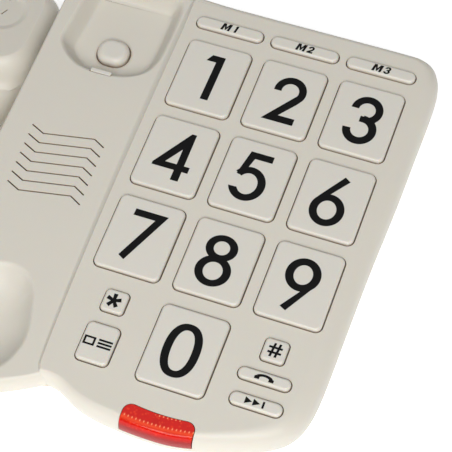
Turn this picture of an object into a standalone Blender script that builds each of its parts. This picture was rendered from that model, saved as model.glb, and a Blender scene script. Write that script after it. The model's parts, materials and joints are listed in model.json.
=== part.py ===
"""Big-button desk telephone: a base with keypad and cradle, and its handset lying face up beside it.

Lengths are in millimetres and are turned into metres where meshes are made.
+X is the telephone's right, +Y its rear, +Z up; it stands on z = 0.
The keypad face is a tilted plane: plan positions on it are given as (u, v), counted in key spacings
to the right of and in front of the middle of key 1.
"""

import math

import bmesh
import bpy
import numpy as np
from mathutils import Matrix

# ---------------------------------------------------------------- driving dimensions (mm)
MM = 0.001
PITCH = 37.5            # spacing of the key columns
ROW = 1.187             # spacing of the key rows, in key spacings
TILT = math.radians(7)  # slope of the keypad face
FACE_HEIGHT = 39.3      # height of the face over the middle of the base
FACE_MIDDLE = (0.25, 1.73)
ORIGIN_SHIFT = (26.475, 0.587)  # brings the origin under the middle of base and handset together
DECK = -2.0             # the cradle deck lies this far below the keypad panel
WALL = 2.2              # case wall
GAP = 0.3               # between pieces that meet
RIM_DROP = 8.0          # height of the rounding around the top shell
PARTING = -11.0         # lower edge of the top shell
FLOOR = 2.5             # underside of the bottom shell, on its feet
KEY_SIZE = (31.0, 37.7)
KEY_RISE = 1.8
KEY_TRAVEL = 1.6
KEY_GAP = 0.5
KEY_EDGE = 1.4
FLANGE = 1.2
WELL_DEPTH = 9.0
BOWL_DEPTH = 10.0
HANDSET_X = -122.2      # middle of the handset, across
HANDSET_SPLIT = 14.0    # height of the seam between its two shells
HANDSET_WALL = 2.0
HANDSET_EDGE = 7.5      # rounding along the handset's inner face

# Outline of the base: u, v and how wide the rounding of the rim is there.
OUTLINE = [
    (-0.36, 4.38, 3), (-0.22, 4.415, 3.5), (0.01, 4.53, 4), (0.25, 4.60, 4.5), (0.61, 4.645, 5),
    (0.93, 4.66, 5), (1.25, 4.645, 5), (1.60, 4.57, 5.5), (1.90, 4.475, 6.5), (2.13, 4.39, 7.5),
    (2.33, 4.29, 8.5), (2.50, 4.14, 9), (2.61, 3.90, 9.5), (2.66, 3.50, 9.5), (2.675, 2.60, 9.5),
    (2.69, 1.80, 9.5), (2.725, 0.90, 9.5), (2.74, 0.10, 9.5), (2.75, -0.40, 9), (2.742, -0.75, 8),
    (2.70, -0.95, 7), (2.60, -1.11, 6), (2.44, -1.185, 5), (2.20, -1.20, 4.5), (1.20, -1.20, 4.5),
    (0.00, -1.20, 4.5), (-0.60, -1.20, 4.0), (-1.30, -1.20, 4.0), (-1.90, -1.20, 3.5),
    (-2.10, -1.17, 3), (-2.21, -1.07, 2.5), (-2.252, -0.90, 2.2), (-2.255, -0.50, 2.2),
    (-2.255, 1.20, 2.2), (-2.255, 3.20, 2.2), (-2.25, 3.78, 2.5), (-2.16, 4.22, 3),
    (-1.95, 4.52, 3.5), (-1.66, 4.70, 3.5), (-1.33, 4.76, 3.5), (-1.05, 4.71, 3.5),
    (-0.84, 4.615, 3.3), (-0.62, 4.50, 3), (-0.48, 4.415, 3),
]
# The same for the raised keypad panel's left edge, where it steps down to the deck.
STEP_EDGE = [
    (-0.40, -1.20, 3.8), (-0.54, -1.19, 3.6), (-0.618, -1.145, 3.4), (-0.652, -1.05, 3.4),
    (-0.668, -0.60, 3.5), (-0.678, 0.30, 3.7), (-0.668, 1.28, 3.4), (-0.642, 2.37, 2.9),
    (-0.602, 3.40, 2.3), (-0.558, 4.15, 1.9), (-0.535, 4.29, 2.0), (-0.49, 4.365, 2.4),
]
# Where the deck runs under the keypad panel.
DECK_TUCK = [(-0.30, 4.26, 3), (-0.20, 3.80, 3), (-0.20, 1.50, 3), (-0.20, -0.60, 3), (-0.30, -1.10, 3)]
# Corners of the recess under the keypad panel.
KEYPAD_RECESS = [(-0.495, 4.17), (2.22, 4.17), (2.49, 3.78), (2.505, -0.40), (2.485, -0.99), (-0.495, -0.99)]
EAR_WELL = [
    (-1.80, 0.19), (-1.63, 0.265), (-1.35, 0.29), (-1.05, 0.24), (-0.83, 0.11), (-0.73, -0.10),
    (-0.705, -0.40), (-0.705, -0.80), (-0.73, -0.99), (-0.82, -1.085), (-1.04, -1.11), (-1.63, -1.11),
    (-1.86, -1.085), (-1.955, -0.99), (-1.985, -0.80), (-2.01, -0.40), (-2.03, -0.10), (-1.95, 0.06),
]
MOUTH_BOWL = [
    (-1.34, 4.55), (-1.10, 4.51), (-0.93, 4.40), (-0.82, 4.15), (-0.81, 3.88), (-0.91, 3.51),
    (-0.99, 3.34), (-1.12, 3.20), (-1.34, 3.15), (-1.56, 3.20), (-1.69, 3.34), (-1.77, 3.51),
    (-1.87, 3.88), (-1.86, 4.15), (-1.75, 4.40), (-1.58, 4.51),
]
RINGER_SLIT = [(-1.872, 1.27), (-1.692, 1.352), (-1.052, 1.232), (-0.90, 1.312)]
RINGER_MIDDLE = (-1.37, 1.70)
SLIT_COUNT = 7
SLIT_STEP = 0.14
SLIT_WIDTH = 0.7
DIGIT_KEYS = {
    "key_1": (0, 0), "key_2": (1, 0), "key_3": (2, 0),
    "key_4": (0, ROW), "key_5": (1, ROW), "key_6": (2, ROW),
    "key_7": (0, 2 * ROW), "key_8": (1, 2 * ROW), "key_9": (2, 2 * ROW),
    "key_0": (1, 3 * ROW + 0.024),
}
# Smaller keys: u, v, width, depth, corner radius.
SMALL_KEYS = {
    "key_m1": (0.0, -0.79, 33.2, 6.1, 2.9), "key_m2": (1.0, -0.79, 33.2, 6.1, 2.9),
    "key_m3": (2.0, -0.79, 33.2, 6.1, 2.9), "key_star": (0.03, 3.26, 10.6, 10.7, 1.8),
    "key_hash": (2.0, 3.26, 10.6, 10.7, 1.8), "key_memory": (0.04, 3.82, 15.0, 18.6, 2.4),
    "key_flash": (2.0, 3.62, 23.6, 5.5, 2.6), "key_redial": (2.01, 3.94, 23.3, 6.0, 2.8),
}
# Case screws under the base: u, v and radius of the post they hold.
SCREW_POSTS = [(-1.80, 0.80, 3.2), (-1.80, 2.72, 3.2), (1.50, -0.604, 2.0), (1.63, 3.22, 3.0)]
POST_SPLIT = -12.0
SCREW_SEAT = -16.0
LAMP = (0.608, 4.365, 1.466, 4.80)  # left, rear, right and front of the lens, in u and v
LAMP_DROP = -7.5
LAMP_EDGE = 3.0          # rounding of the lens, tighter than that of the rim it lies in
PLUNGER = (-1.383, -0.169, 15.4, 13.4)
PLUNGER_TOP = -7.3
PLUNGER_FLANGE = -13.3   # height of the flange that keeps the plunger in
TAB = (-1.355, 0.272, 10.4, 2.3, 9.0)  # u, v, width, thickness, height
JACK_X = 22.0
HANDSET_JACK_Y = -52.0
SWITCH_X = {"ringer_volume": -36.0, "tone_pulse": -12.0}
SWITCH_Z = 21.0
FEET = {"foot_rear_left": (-74, 88), "foot_rear_right": (76, 86),
        "foot_front_left": (-62, -86), "foot_front_right": (66, -76)}
KEYHOLES = [(30.0, 52.0), (30.0, -30.0)]
# Handset, from its ear end to its mouth end: y, half width, height of the inner face, height of the back.
HANDSET_PROFILE = [
    (103.5, 13.0, 28.0, 10.0), (102.6, 17.5, 33.0, 6.0), (100.0, 21.5, 36.6, 3.2), (95.5, 23.8, 38.0, 1.6),
    (88.0, 24.5, 38.0, 0.8), (74.0, 24.5, 38.0, 0.3), (60.0, 24.2, 38.0, 0.0), (54.0, 23.4, 37.4, 0.0),
    (51.0, 22.6, 35.8, 0.0), (48.6, 21.9, 31.0, 0.0), (46.0, 21.3, 27.0, 0.0), (41.0, 20.5, 25.0, 0.0),
    (30.0, 19.4, 24.2, 0.0), (10.0, 18.6, 24.0, 0.0), (-12.0, 18.3, 24.0, 0.0), (-32.0, 18.5, 24.2, 0.0),
    (-44.0, 19.0, 25.0, 0.0), (-50.0, 19.5, 27.4, 0.0), (-54.0, 20.0, 31.6, 0.0), (-57.5, 20.3, 34.2, 0.0),
    (-62.0, 20.6, 35.0, 0.2), (-74.0, 20.8, 35.0, 0.6), (-88.0, 20.4, 34.6, 1.2), (-96.0, 18.6, 33.6, 2.4),
    (-100.6, 15.6, 31.0, 4.6), (-102.6, 11.4, 26.6, 8.6),
]
EAR_FACE_Y = 79.0
MOUTH_FACE_Y = -78.0
FACE_SLIT = [(-0.7, -1.9), (1.1, 1.9)]  # ends of one slanting slit, from the middle of the handset

# ---------------------------------------------------------------- frames and collections
WORLD = Matrix.Translation((ORIGIN_SHIFT[0] * MM, ORIGIN_SHIFT[1] * MM, 0))
FACE = WORLD @ Matrix.Translation((0, 0, FACE_HEIGHT * MM)) @ Matrix.Rotation(TILT, 4, "X")

for old in list(bpy.data.objects):
    bpy.data.objects.remove(old, do_unlink=True)
PARTS = bpy.data.collections.new("big_button_telephone")
CUTTERS = bpy.data.collections.new("cutters")
for group in (PARTS, CUTTERS):
    bpy.context.scene.collection.children.link(group)


def material(name, colour, roughness, metallic=0.0):
    """A plain Principled material."""
    made = bpy.data.materials.new(name)
    made.use_nodes = True
    surface = made.node_tree.nodes["Principled BSDF"]
    surface.inputs["Base Color"].default_value = (*colour, 1.0)
    surface.inputs["Roughness"].default_value = roughness
    surface.inputs["Metallic"].default_value = metallic
    return made


SHELL = material("ivory_shell_plastic", (0.60, 0.575, 0.50), 0.38)
KEYS = material("ivory_key_plastic", (0.62, 0.60, 0.55), 0.34)
LENS = material("red_lens_plastic", (0.65, 0.03, 0.01), 0.15)
BOARD = material("green_board", (0.03, 0.16, 0.07), 0.5)
RUBBER = material("grey_rubber", (0.12, 0.12, 0.12), 0.8)
BLACK = material("black_plastic", (0.03, 0.03, 0.03), 0.45)
STEEL = material("steel", (0.55, 0.55, 0.56), 0.3, 1.0)
JACK = material("clear_grey_jack_plastic", (0.30, 0.30, 0.29), 0.3)


# ---------------------------------------------------------------- shape helpers
def plan(u, v):
    """Key spacings to millimetres in the plane of the face."""
    return (u - FACE_MIDDLE[0]) * PITCH, (FACE_MIDDLE[1] - v) * PITCH


def smooth_loop(points, steps):
    """Closed Catmull-Rom curve through points of any number of values."""
    pts = np.array(points, float)
    out = []
    for i in range(len(pts)):
        p0, p1, p2, p3 = (pts[(i + k) % len(pts)] for k in (-1, 0, 1, 2))
        for s in range(steps):
            t = s / steps
            out.append(0.5 * (2 * p1 + (p2 - p0) * t + (2 * p0 - 5 * p1 + 4 * p2 - p3) * t ** 2
                              + (3 * p1 - p0 - 3 * p2 + p3) * t ** 3))
    return np.array(out)


def face_loop(points, steps=2):
    """Smooth loop of (u, v, ...) turned to millimetres on the face, counter-clockwise from above."""
    loop = smooth_loop(points, steps)
    loop[:, 0], loop[:, 1] = plan(loop[:, 0], loop[:, 1])
    return loop


def outward(loop):
    """Unit normals of a counter-clockwise loop, pointing out of it."""
    along = np.roll(loop[:, :2], -1, axis=0) - np.roll(loop[:, :2], 1, axis=0)
    along /= np.linalg.norm(along, axis=1)[:, None]
    return np.column_stack([along[:, 1], -along[:, 0]])


def level(loop, inset, height):
    """Ring at one height, moved in by inset (a number, or one for each point)."""
    xy = loop[:, :2] - outward(loop) * np.reshape(inset, (-1, 1))
    return np.column_stack([xy, np.full(len(xy), float(height))])


def rounded_rectangle(width, depth, radius, steps=2, x=0.0, y=0.0):
    """Counter-clockwise rounded rectangle."""
    out = []
    for quarter, (sx, sy) in enumerate([(1, 1), (-1, 1), (-1, -1), (1, -1)]):
        cx, cy = sx * (width / 2 - radius), sy * (depth / 2 - radius)
        for s in range(steps + 1):
            a = math.pi / 2 * (quarter + s / steps)
            out.append((x + cx + radius * math.cos(a), y + cy + radius * math.sin(a)))
    return np.array(out)


def disc(radius, count, x=0.0, y=0.0):
    """Counter-clockwise circle."""
    a = 2 * math.pi * np.arange(count) / count
    return np.column_stack([x + radius * np.cos(a), y + radius * np.sin(a)])


def flat(xy, height):
    """Plan points at one height."""
    return np.column_stack([xy, np.full(len(xy), float(height))])


def prism(xy, low, high):
    """Two rings for a straight prism."""
    return [flat(xy, low), flat(xy, high)]


def box(x0, x1, y0, y1, z0, z1):
    """Rings of a box."""
    corners = np.array([(x1, y1), (x0, y1), (x0, y0), (x1, y0)], float)
    return prism(corners, z0, z1)


def solid(name, bodies, frame=WORLD, look=None, smooth=False, origin=(0, 0, 0)):
    """One object from one or more lofts; each loft is a list of rings from its lower end to its upper."""
    mesh = bmesh.new()
    for rings in bodies:
        rows = [[mesh.verts.new(tuple((np.array(p) - origin) * MM)) for p in ring] for ring in rings]
        count = len(rows[0])
        for lower, upper in zip(rows, rows[1:]):
            for i in range(count):
                j = (i + 1) % count
                mesh.faces.new((lower[i], lower[j], upper[j], upper[i]))
        mesh.faces.new(list(reversed(rows[0])))
        mesh.faces.new(rows[-1])
    data = bpy.data.meshes.new(name)
    mesh.to_mesh(data)
    mesh.free()
    made = bpy.data.objects.new(name, data)
    made.matrix_world = frame @ Matrix.Translation(np.array(origin, float) * MM)
    if look is None:
        CUTTERS.objects.link(made)
        made.hide_render = True
        made.display_type = "WIRE"
    else:
        PARTS.objects.link(made)
        data.materials.append(look)
    if smooth:
        for face in data.polygons:
            face.use_smooth = True
    return made


def combine(target, tool, operation="DIFFERENCE"):
    """Boolean modifier with the exact solver."""
    step = target.modifiers.new(tool.name, "BOOLEAN")
    step.operation = operation
    step.solver = "EXACT"
    step.object = tool
    return target


# ---------------------------------------------------------------- base: top shell
def slab(points, top, bottom, inset=0.0, drop=RIM_DROP, steps=2, arcs=3):
    """Rings of a plate whose upper rim is rounded by the width given for each point."""
    loop = face_loop(points, steps)
    width = np.maximum(loop[:, 2] - inset, 0.4)
    drop = max(drop - inset, 0.4)
    rings = [level(loop, inset, bottom)]
    for k in range(arcs + 1):
        a = math.pi / 2 * k / arcs
        rings.append(level(loop, inset + width * (1 - math.cos(a)), top - drop * (1 - math.sin(a))))
    return rings


SPLIT = next(i for i, p in enumerate(OUTLINE) if p[0] == -0.60)
PANEL_POINTS = OUTLINE[:SPLIT] + STEP_EDGE
DECK_POINTS = OUTLINE[SPLIT:] + DECK_TUCK
WELL_RINGS = [(5.6, -9.0), (3.2, -8.1), (1.4, -5.6), (0.0, -1.4), (-0.4, -0.5), (-1.1, 0.0), (-1.1, 3.0)]
BOWL_RINGS = [(14.5, -10.0), (9.5, -9.2), (5.0, -6.8), (1.9, -3.4), (0.0, -0.9), (-1.0, 0.0), (-1.0, 3.0)]


def hollow(points, rings):
    """Rings of a well sunk in the deck."""
    loop = face_loop(points)
    return [level(loop, inset, DECK + depth) for inset, depth in rings]


def cup(points, rings, grow=2.0):
    """Rings of the cup of material around a well."""
    loop = face_loop(points, 1)
    out = [level(loop, inset - grow, DECK + depth - grow) for inset, depth in rings if depth < -1.0]
    return out + [level(loop, -grow, DECK - WALL / 2)]


def panel_slab():
    return slab(PANEL_POINTS, 0.0, PARTING)


def build_top_shell():
    shell = solid("base_top_shell", [panel_slab()], FACE, SHELL)
    combine(shell, solid("deck_body", [slab(DECK_POINTS, DECK, PARTING, drop=RIM_DROP + DECK)], FACE), "UNION")
    hollows = slab(OUTLINE, DECK - WALL, PARTING - 4, WALL, RIM_DROP + DECK, 1, 2)
    combine(shell, solid("shell_hollow", [hollows], FACE))
    recess = np.array([plan(u, v) for u, v in KEYPAD_RECESS])
    combine(shell, solid("keypad_recess", [prism(recess, -8.0, -WALL)], FACE))
    combine(shell, solid("ear_cup", [cup(EAR_WELL, WELL_RINGS)], FACE), "UNION")
    combine(shell, solid("mouth_cup", [cup(MOUTH_BOWL, BOWL_RINGS)], FACE), "UNION")
    x, y = plan(*TAB[:2])
    pocket = rounded_rectangle(TAB[2] + 4.4, TAB[3] + 4.6, 1.5, 2, x, y)
    combine(shell, solid("tab_pocket", [prism(pocket, DECK - TAB[4] - 2.2, DECK - WALL / 2)], FACE), "UNION")
    posts = []
    for u, v, radius in SCREW_POSTS:
        top = (DECK if u < -0.6 else 0.0) - WALL / 2
        posts.append(prism(disc(radius, 10, *plan(u, v)), POST_SPLIT, top))
    combine(shell, solid("screw_posts", posts, FACE), "UNION")
    wells = [hollow(EAR_WELL, WELL_RINGS), hollow(MOUTH_BOWL, BOWL_RINGS)]
    combine(shell, solid("wells", wells, FACE))
    holes = []
    for u, v, width, depth, radius in all_keys().values():
        x, y = plan(u, v)
        hole = rounded_rectangle(width + 2 * KEY_GAP, depth + 2 * KEY_GAP, radius + KEY_GAP, 2, x, y)
        holes.append(prism(hole, -WALL - 3.1, 3.0))
    combine(shell, solid("key_holes", holes, FACE))
    combine(shell, solid("slits", ringer_slits(), FACE))
    holes = [prism(disc(radius - 0.9, 8, *plan(u, v)), POST_SPLIT - 1, -5.0 if radius < 2.5 else -6.0)
             for u, v, radius in SCREW_POSTS]
    x, y = plan(*PLUNGER[:2])
    holes.append(prism(rounded_rectangle(PLUNGER[2] + 0.9, PLUNGER[3] + 0.9, 6.5, 3, x, y), -20, -8))
    x, y = plan(*TAB[:2])
    holes.append(prism(rounded_rectangle(TAB[2] + 0.6, TAB[3] + 0.6, 0.5, 1, x, y), DECK - TAB[4] - 0.3, 2))
    combine(shell, solid("small_holes", holes, FACE))
    combine(shell, solid("lamp_opening", [lamp_block(GAP, LAMP_DROP - GAP)], FACE))
    return shell


def all_keys():
    """Every key: u, v, width, depth, corner radius."""
    keys = {name: (u, v, *KEY_SIZE, 3.0) for name, (u, v) in DIGIT_KEYS.items()}
    keys.update(SMALL_KEYS)
    return keys


def ringer_slits():
    """Thin zigzag prisms through the deck."""
    out = []
    for n in range(SLIT_COUNT):
        line = [np.array(plan(u + 0.004 * n, v + SLIT_STEP * n)) for u, v in RINGER_SLIT]
        half = SLIT_WIDTH / 2
        sides = []
        for i, p in enumerate(line):
            before = line[max(i - 1, 0)] - p if i else p - line[1]
            after = line[i + 1] - p if i < len(line) - 1 else p - line[i - 1]
            d = after / np.linalg.norm(after) - before / np.linalg.norm(before)
            d /= np.linalg.norm(d)
            n2 = np.array([-d[1], d[0]])
            sides.append((p - n2 * half, p + n2 * half))
        ring = [a for a, b in sides] + [b for a, b in reversed(sides)]
        out.append(prism(np.array(ring), DECK - WALL - 2, DECK + 2))
    return out


def lamp_block(grow, bottom, inset=0.0, top=4.0):
    """Rings of the block that the lamp lens fills, or is cut from."""
    x0, y0 = plan(LAMP[0], LAMP[1])
    x1, y1 = plan(LAMP[2], LAMP[3])
    width, depth = x1 - x0 + 2 * (grow - inset), y0 - y1 + 2 * (grow - inset)
    shape = rounded_rectangle(width, depth, 4.5 + grow - inset, 3, (x0 + x1) / 2, (y0 + y1) / 2)
    return prism(shape, bottom, top)


# ---------------------------------------------------------------- base: bottom shell
def underside_rings(grow, low, mid, top):
    """Rings from the flat underside up to the sloping seam below the top shell."""
    loop = face_loop(OUTLINE, 1 if grow else 2)
    out = outward(loop)
    side = 10.5 - 6.0 * np.maximum(0, out[:, 1]) ** 0.5 - 6.5 * np.maximum(0, -out[:, 0]) ** 2
    side = np.clip(side, 4.0, None)
    shift = -PARTING * math.sin(TILT)
    rings = []
    for height, more in ((low, 2.0), (mid, 0.0)):
        ring = level(loop, side + more + grow, height)
        ring[:, 1] = ring[:, 1] * math.cos(TILT) + shift
        rings.append(ring)
    ring = level(loop, 0.2 + grow, top)
    y, z = ring[:, 1].copy(), ring[:, 2].copy()
    ring[:, 1] = y * math.cos(TILT) - z * math.sin(TILT)
    ring[:, 2] = FACE_HEIGHT + y * math.sin(TILT) + z * math.cos(TILT)
    rings.append(ring)
    return rings


def build_bottom_shell():
    shell = solid("base_bottom_shell", [underside_rings(0.0, FLOOR, FLOOR + 2.5, PARTING - GAP)], WORLD, SHELL)
    combine(shell, solid("bottom_hollow", [underside_rings(WALL, FLOOR + WALL, FLOOR + 4, PARTING + 6)], WORLD))
    posts = [prism(disc(max(radius, 2.6) + 1.6, 10, *plan(u, v)), -60, POST_SPLIT - GAP)
             for u, v, radius in SCREW_POSTS]
    x, y = plan(*PLUNGER[:2])
    posts.append(prism(rounded_rectangle(15, 12, 1, 1, x, y), -60, -31.3))
    x, y = plan((LAMP[0] + LAMP[2]) / 2, 4.22)
    posts.append(prism(rounded_rectangle(12, 4, 1, 1, x, y), -60, -12.3))
    post = solid("bottom_posts", posts, FACE)
    inner = solid("bottom_fill", [underside_rings(WALL / 2, FLOOR + WALL / 2, FLOOR + 3, PARTING + 6)], WORLD)
    combine(post, inner, "INTERSECT")
    combine(shell, post, "UNION")
    holes = []
    for u, v, radius in SCREW_POSTS:
        x, y = plan(u, v)
        holes.append([flat(disc(3.1, 10, x, y), -60), flat(disc(3.1, 10, x, y), SCREW_SEAT),
                      flat(disc(1.6, 10, x, y), SCREW_SEAT), flat(disc(1.6, 10, x, y), POST_SPLIT + 3)])
    combine(shell, solid("screw_holes", holes, FACE))
    cuts = [box(JACK_X - 7.3, JACK_X + 7.3, 98, 120, 10.7, 25.3),
            box(-100, -84, HANDSET_JACK_Y - 6.3, HANDSET_JACK_Y + 6.3, 7.2, 18.8)]
    for x in SWITCH_X.values():
        cuts.append(box(x - 5.6, x + 5.6, 100, 120, SWITCH_Z - 1.9, SWITCH_Z + 1.9))
    for x, y in KEYHOLES:
        a = np.linspace(math.radians(210), math.radians(-30), 9)
        head = [(x + 4.25 * math.cos(t), y - 8 + 4.25 * math.sin(t)) for t in a]
        head = [(px, 2 * (y - 8) - py) for px, py in head]
        slot = [(x + 2.2 * math.cos(t), y + 2 + 2.2 * math.sin(t)) for t in np.linspace(0, math.pi, 5)]
        cuts.append(prism(np.array(head + slot), 0.5, 8.0))
    combine(shell, solid("wall_openings", cuts, WORLD))
    return shell


# ---------------------------------------------------------------- base: moving and inner pieces
def build_key(name, u, v, width, depth, radius):
    """A key with a retaining flange under the panel and a rounded upper edge."""
    def ring(inset, height):
        return flat(rounded_rectangle(width - 2 * inset, depth - 2 * inset, max(radius - inset, 0.6)), height)

    edge = min(KEY_EDGE, depth * 0.2)
    rings = [ring(-FLANGE, -3.7), ring(-FLANGE, -WALL - GAP), ring(0, -WALL - GAP)]
    for angle in (0, 45, 90):
        a = math.radians(angle)
        rings.append(ring(edge * (1 - math.cos(a)), KEY_RISE - edge * (1 - math.sin(a))))
    x, y = plan(u, v)
    return solid(name, [rings], FACE @ Matrix.Translation((x * MM, y * MM, 0)), KEYS)


def post_clearance(extra):
    """Prisms around the two screw posts that pass through the keypad mat and the circuit board."""
    return [prism(disc(radius + extra, 12, *plan(u, v)), -20, 5) for u, v, radius in SCREW_POSTS if u > 0]


def build_keypad():
    for name, values in all_keys().items():
        build_key(name, *values)
    corners = [(-0.44, 4.10), (2.16, 4.10), (2.42, 3.72), (2.42, -0.95), (-0.44, -0.95)]
    sheet = np.array([plan(u, v) for u, v in corners])
    mat = solid("rubber_keypad_mat", [prism(sheet, -7.1, -6.1)], FACE, RUBBER)
    pads = [prism(disc(2.2, 6, *plan(k[0], k[1])), -6.6, -5.6) for k in all_keys().values()]
    combine(mat, solid("mat_pads", pads, FACE), "UNION")
    combine(mat, solid("mat_holes", post_clearance(0.5), FACE))
    board = solid("main_circuit_board", [prism(sheet, -9.0, -7.4)], FACE, BOARD)
    combine(board, solid("board_holes", post_clearance(0.4), FACE))


def build_hook():
    x, y = plan(*PLUNGER[:2])

    def ring(inset, height, radius=6.1):
        shape = rounded_rectangle(PLUNGER[2] - 2 * inset, PLUNGER[3] - 2 * inset, radius - inset, 3)
        return flat(shape, height)

    rings = [ring(-1.4, PLUNGER_FLANGE - 2), ring(-1.4, PLUNGER_FLANGE), ring(0, PLUNGER_FLANGE),
             ring(0, PLUNGER_TOP - 2.4)]
    for angle in (30, 60, 90):
        a = math.radians(angle)
        rings.append(ring(2.4 * (1 - math.cos(a)), PLUNGER_TOP - 2.4 * (1 - math.sin(a))))
    place = FACE @ Matrix.Translation((x * MM, y * MM, 0))
    solid("hook_plunger", [rings], place, KEYS)
    case = rounded_rectangle(13, 10, 0.8, 1)
    tip = rounded_rectangle(5, 3, 0.8, 1)
    solid("hook_switch", [[flat(case, -31), flat(case, -22), flat(tip, -22), flat(tip, -19.2)]], place, BLACK)
    x, y = plan(*TAB[:2])
    place = FACE @ Matrix.Translation((x * MM, y * MM, 0))
    plate = rounded_rectangle(TAB[2], TAB[3], 0.4, 1)
    crown = rounded_rectangle(TAB[2] - 0.8, TAB[3] - 0.8, 0.3, 1)
    rings = [flat(plate, DECK - TAB[4]), flat(plate, DECK - 0.5), flat(crown, DECK - 0.1)]
    solid("handset_hanger_tab", [rings], place, KEYS)


def build_lamp():
    points = [(u, v, min(width, LAMP_EDGE)) for u, v, width in PANEL_POINTS]
    lens = solid("lamp_lens", [slab(points, 0.0, PARTING)], FACE, LENS)
    combine(lens, solid("lens_block", [lamp_block(0.0, LAMP_DROP)], FACE), "INTERSECT")
    combine(lens, solid("lens_hollow", [slab(OUTLINE, -2.0, -14.0, 2.0, RIM_DROP, 1)], FACE))
    x, y = plan((LAMP[0] + LAMP[2]) / 2, 4.26)
    place = FACE @ Matrix.Translation((x * MM, y * MM, 0))
    solid("lamp_board", [prism(rounded_rectangle(18, 7, 0.5, 1), -12.0, -10.8)], place, BOARD)
    bulb = [flat(disc(2.5, 12, 0, -1), z) for z in (-10.5, -6.5)] + [flat(disc(1.6, 12, 0, -1), -5.2)]
    solid("lamp_led", [bulb], place, LENS, smooth=True)


def build_ringer():
    x, y = plan(*RINGER_MIDDLE)
    place = FACE @ Matrix.Translation((x * MM, y * MM, 0))
    top = DECK - WALL - GAP
    rings = [flat(disc(9, 20), top - 9), flat(disc(9, 20), top - 5.5), flat(disc(18, 20), top - 3),
             flat(disc(20, 20), top - 1.6), flat(disc(20, 20), top)]
    solid("ringer_speaker", [rings], place, BLACK)


def socket(name, width, height, depth, opening, place):
    """A jack body with its socket facing -Y, as one piece."""
    body = solid(name, [box(-width / 2, width / 2, 0, depth, -height / 2, height / 2)], place, JACK)
    w, h, latch = opening
    hole = [box(-w / 2, w / 2, -2, depth - 3, -h / 2, h / 2)]
    combine(body, solid(name + "_socket", hole, place))
    slot = [box(-latch / 2, latch / 2, -2, depth - 5, -h / 2 - 1.6, -h / 2 + 0.5)]
    combine(body, solid(name + "_latch", slot, place))
    return body


def build_jacks_and_switches():
    rear = WORLD @ Matrix.Translation((JACK_X * MM, 107.6 * MM, 18 * MM)) @ Matrix.Rotation(math.pi, 4, "Z")
    socket("line_jack", 14.0, 14.0, 15.0, (9.9, 7.2, 4.2), rear)
    left = WORLD @ Matrix.Translation((-91.8 * MM, HANDSET_JACK_Y * MM, 13 * MM)) @ Matrix.Rotation(-math.pi / 2, 4, "Z")
    socket("base_handset_jack", 12.0, 11.0, 14.0, (7.9, 6.4, 3.4), left)
    for name, x in SWITCH_X.items():
        place = WORLD @ Matrix.Translation((x * MM, 0, SWITCH_Z * MM))
        knob = [box(-4.4, 4.4, 101.4, 102.6, -3, 3), box(-2.2, 2.2, 102.0, 109.4, -1.5, 1.5)]
        body = solid(name + "_knob", knob[:1], place, BLACK)
        combine(body, solid(name + "_stem", knob[1:], place), "UNION")
        solid(name + "_switch", [box(-6.5, 6.5, 95.0, 101.0, -4.0, 4.0)], place, STEEL)


def build_fixings():
    for name, (x, y) in FEET.items():
        pad = [flat(disc(r, 14), z) for r, z in ((6.6, 0.0), (7.2, 0.6), (7.2, FLOOR - GAP))]
        solid(name, [pad], WORLD @ Matrix.Translation((x * MM, y * MM, 0)), RUBBER)
    for n, (u, v, radius) in enumerate(SCREW_POSTS, 1):
        x, y = plan(u, v)
        place = FACE @ Matrix.Translation((x * MM, y * MM, 0))
        shank = 0.8 if radius < 2.5 else 1.2
        top = POST_SPLIT + 5
        screw(f"case_screw_{n}", place, 2.6, shank, SCREW_SEAT, top)


def screw(name, place, head, shank, seat, top):
    """A screw whose head sits under seat and whose shank rises to top."""
    rings = [flat(disc(r, 10), z) for r, z in ((head * 0.7, seat - 2.2), (head, seat - 1.6), (head, seat - GAP),
                                               (shank, seat - GAP), (shank, top))]
    return solid(name, [rings], place, STEEL)


# ---------------------------------------------------------------- handset
def handset_rings(inset):
    """Sections of the handset along its length, mouth end first; with inset, of the space inside it."""
    rows = HANDSET_PROFILE
    arc = 2 if inset else 4
    last = len(rows) - 1
    rings = []
    for i, (y, half, top, low) in reversed(list(enumerate(rows))):
        if inset and (i in (0, last) or (3 < i < last - 3 and i % 2)):
            continue
        y -= inset * (1 if i < 3 else -1 if i > last - 3 else 0) * 0.9
        half, top, low = half - inset, top - inset, low + inset
        upper, lower = min(HANDSET_EDGE, half * 0.4), min(9.0, half * 0.5, (top - low) * 0.35)
        ring = []
        for sx, sz, radius in ((1, 1, upper), (-1, 1, upper), (-1, -1, lower), (1, -1, lower)):
            start = {(1, 1): 0, (-1, 1): 1, (-1, -1): 2, (1, -1): 3}[(sx, sz)]
            cx = sx * (half - radius)
            cz = top - radius if sz > 0 else low + radius
            for s in range(arc + 1):
                a = math.pi / 2 * (start + s / arc)
                ring.append((cx + radius * math.cos(a), y, cz + radius * math.sin(a)))
        rings.append(np.array(ring))
    return [ring[::-1] for ring in rings]


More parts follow.
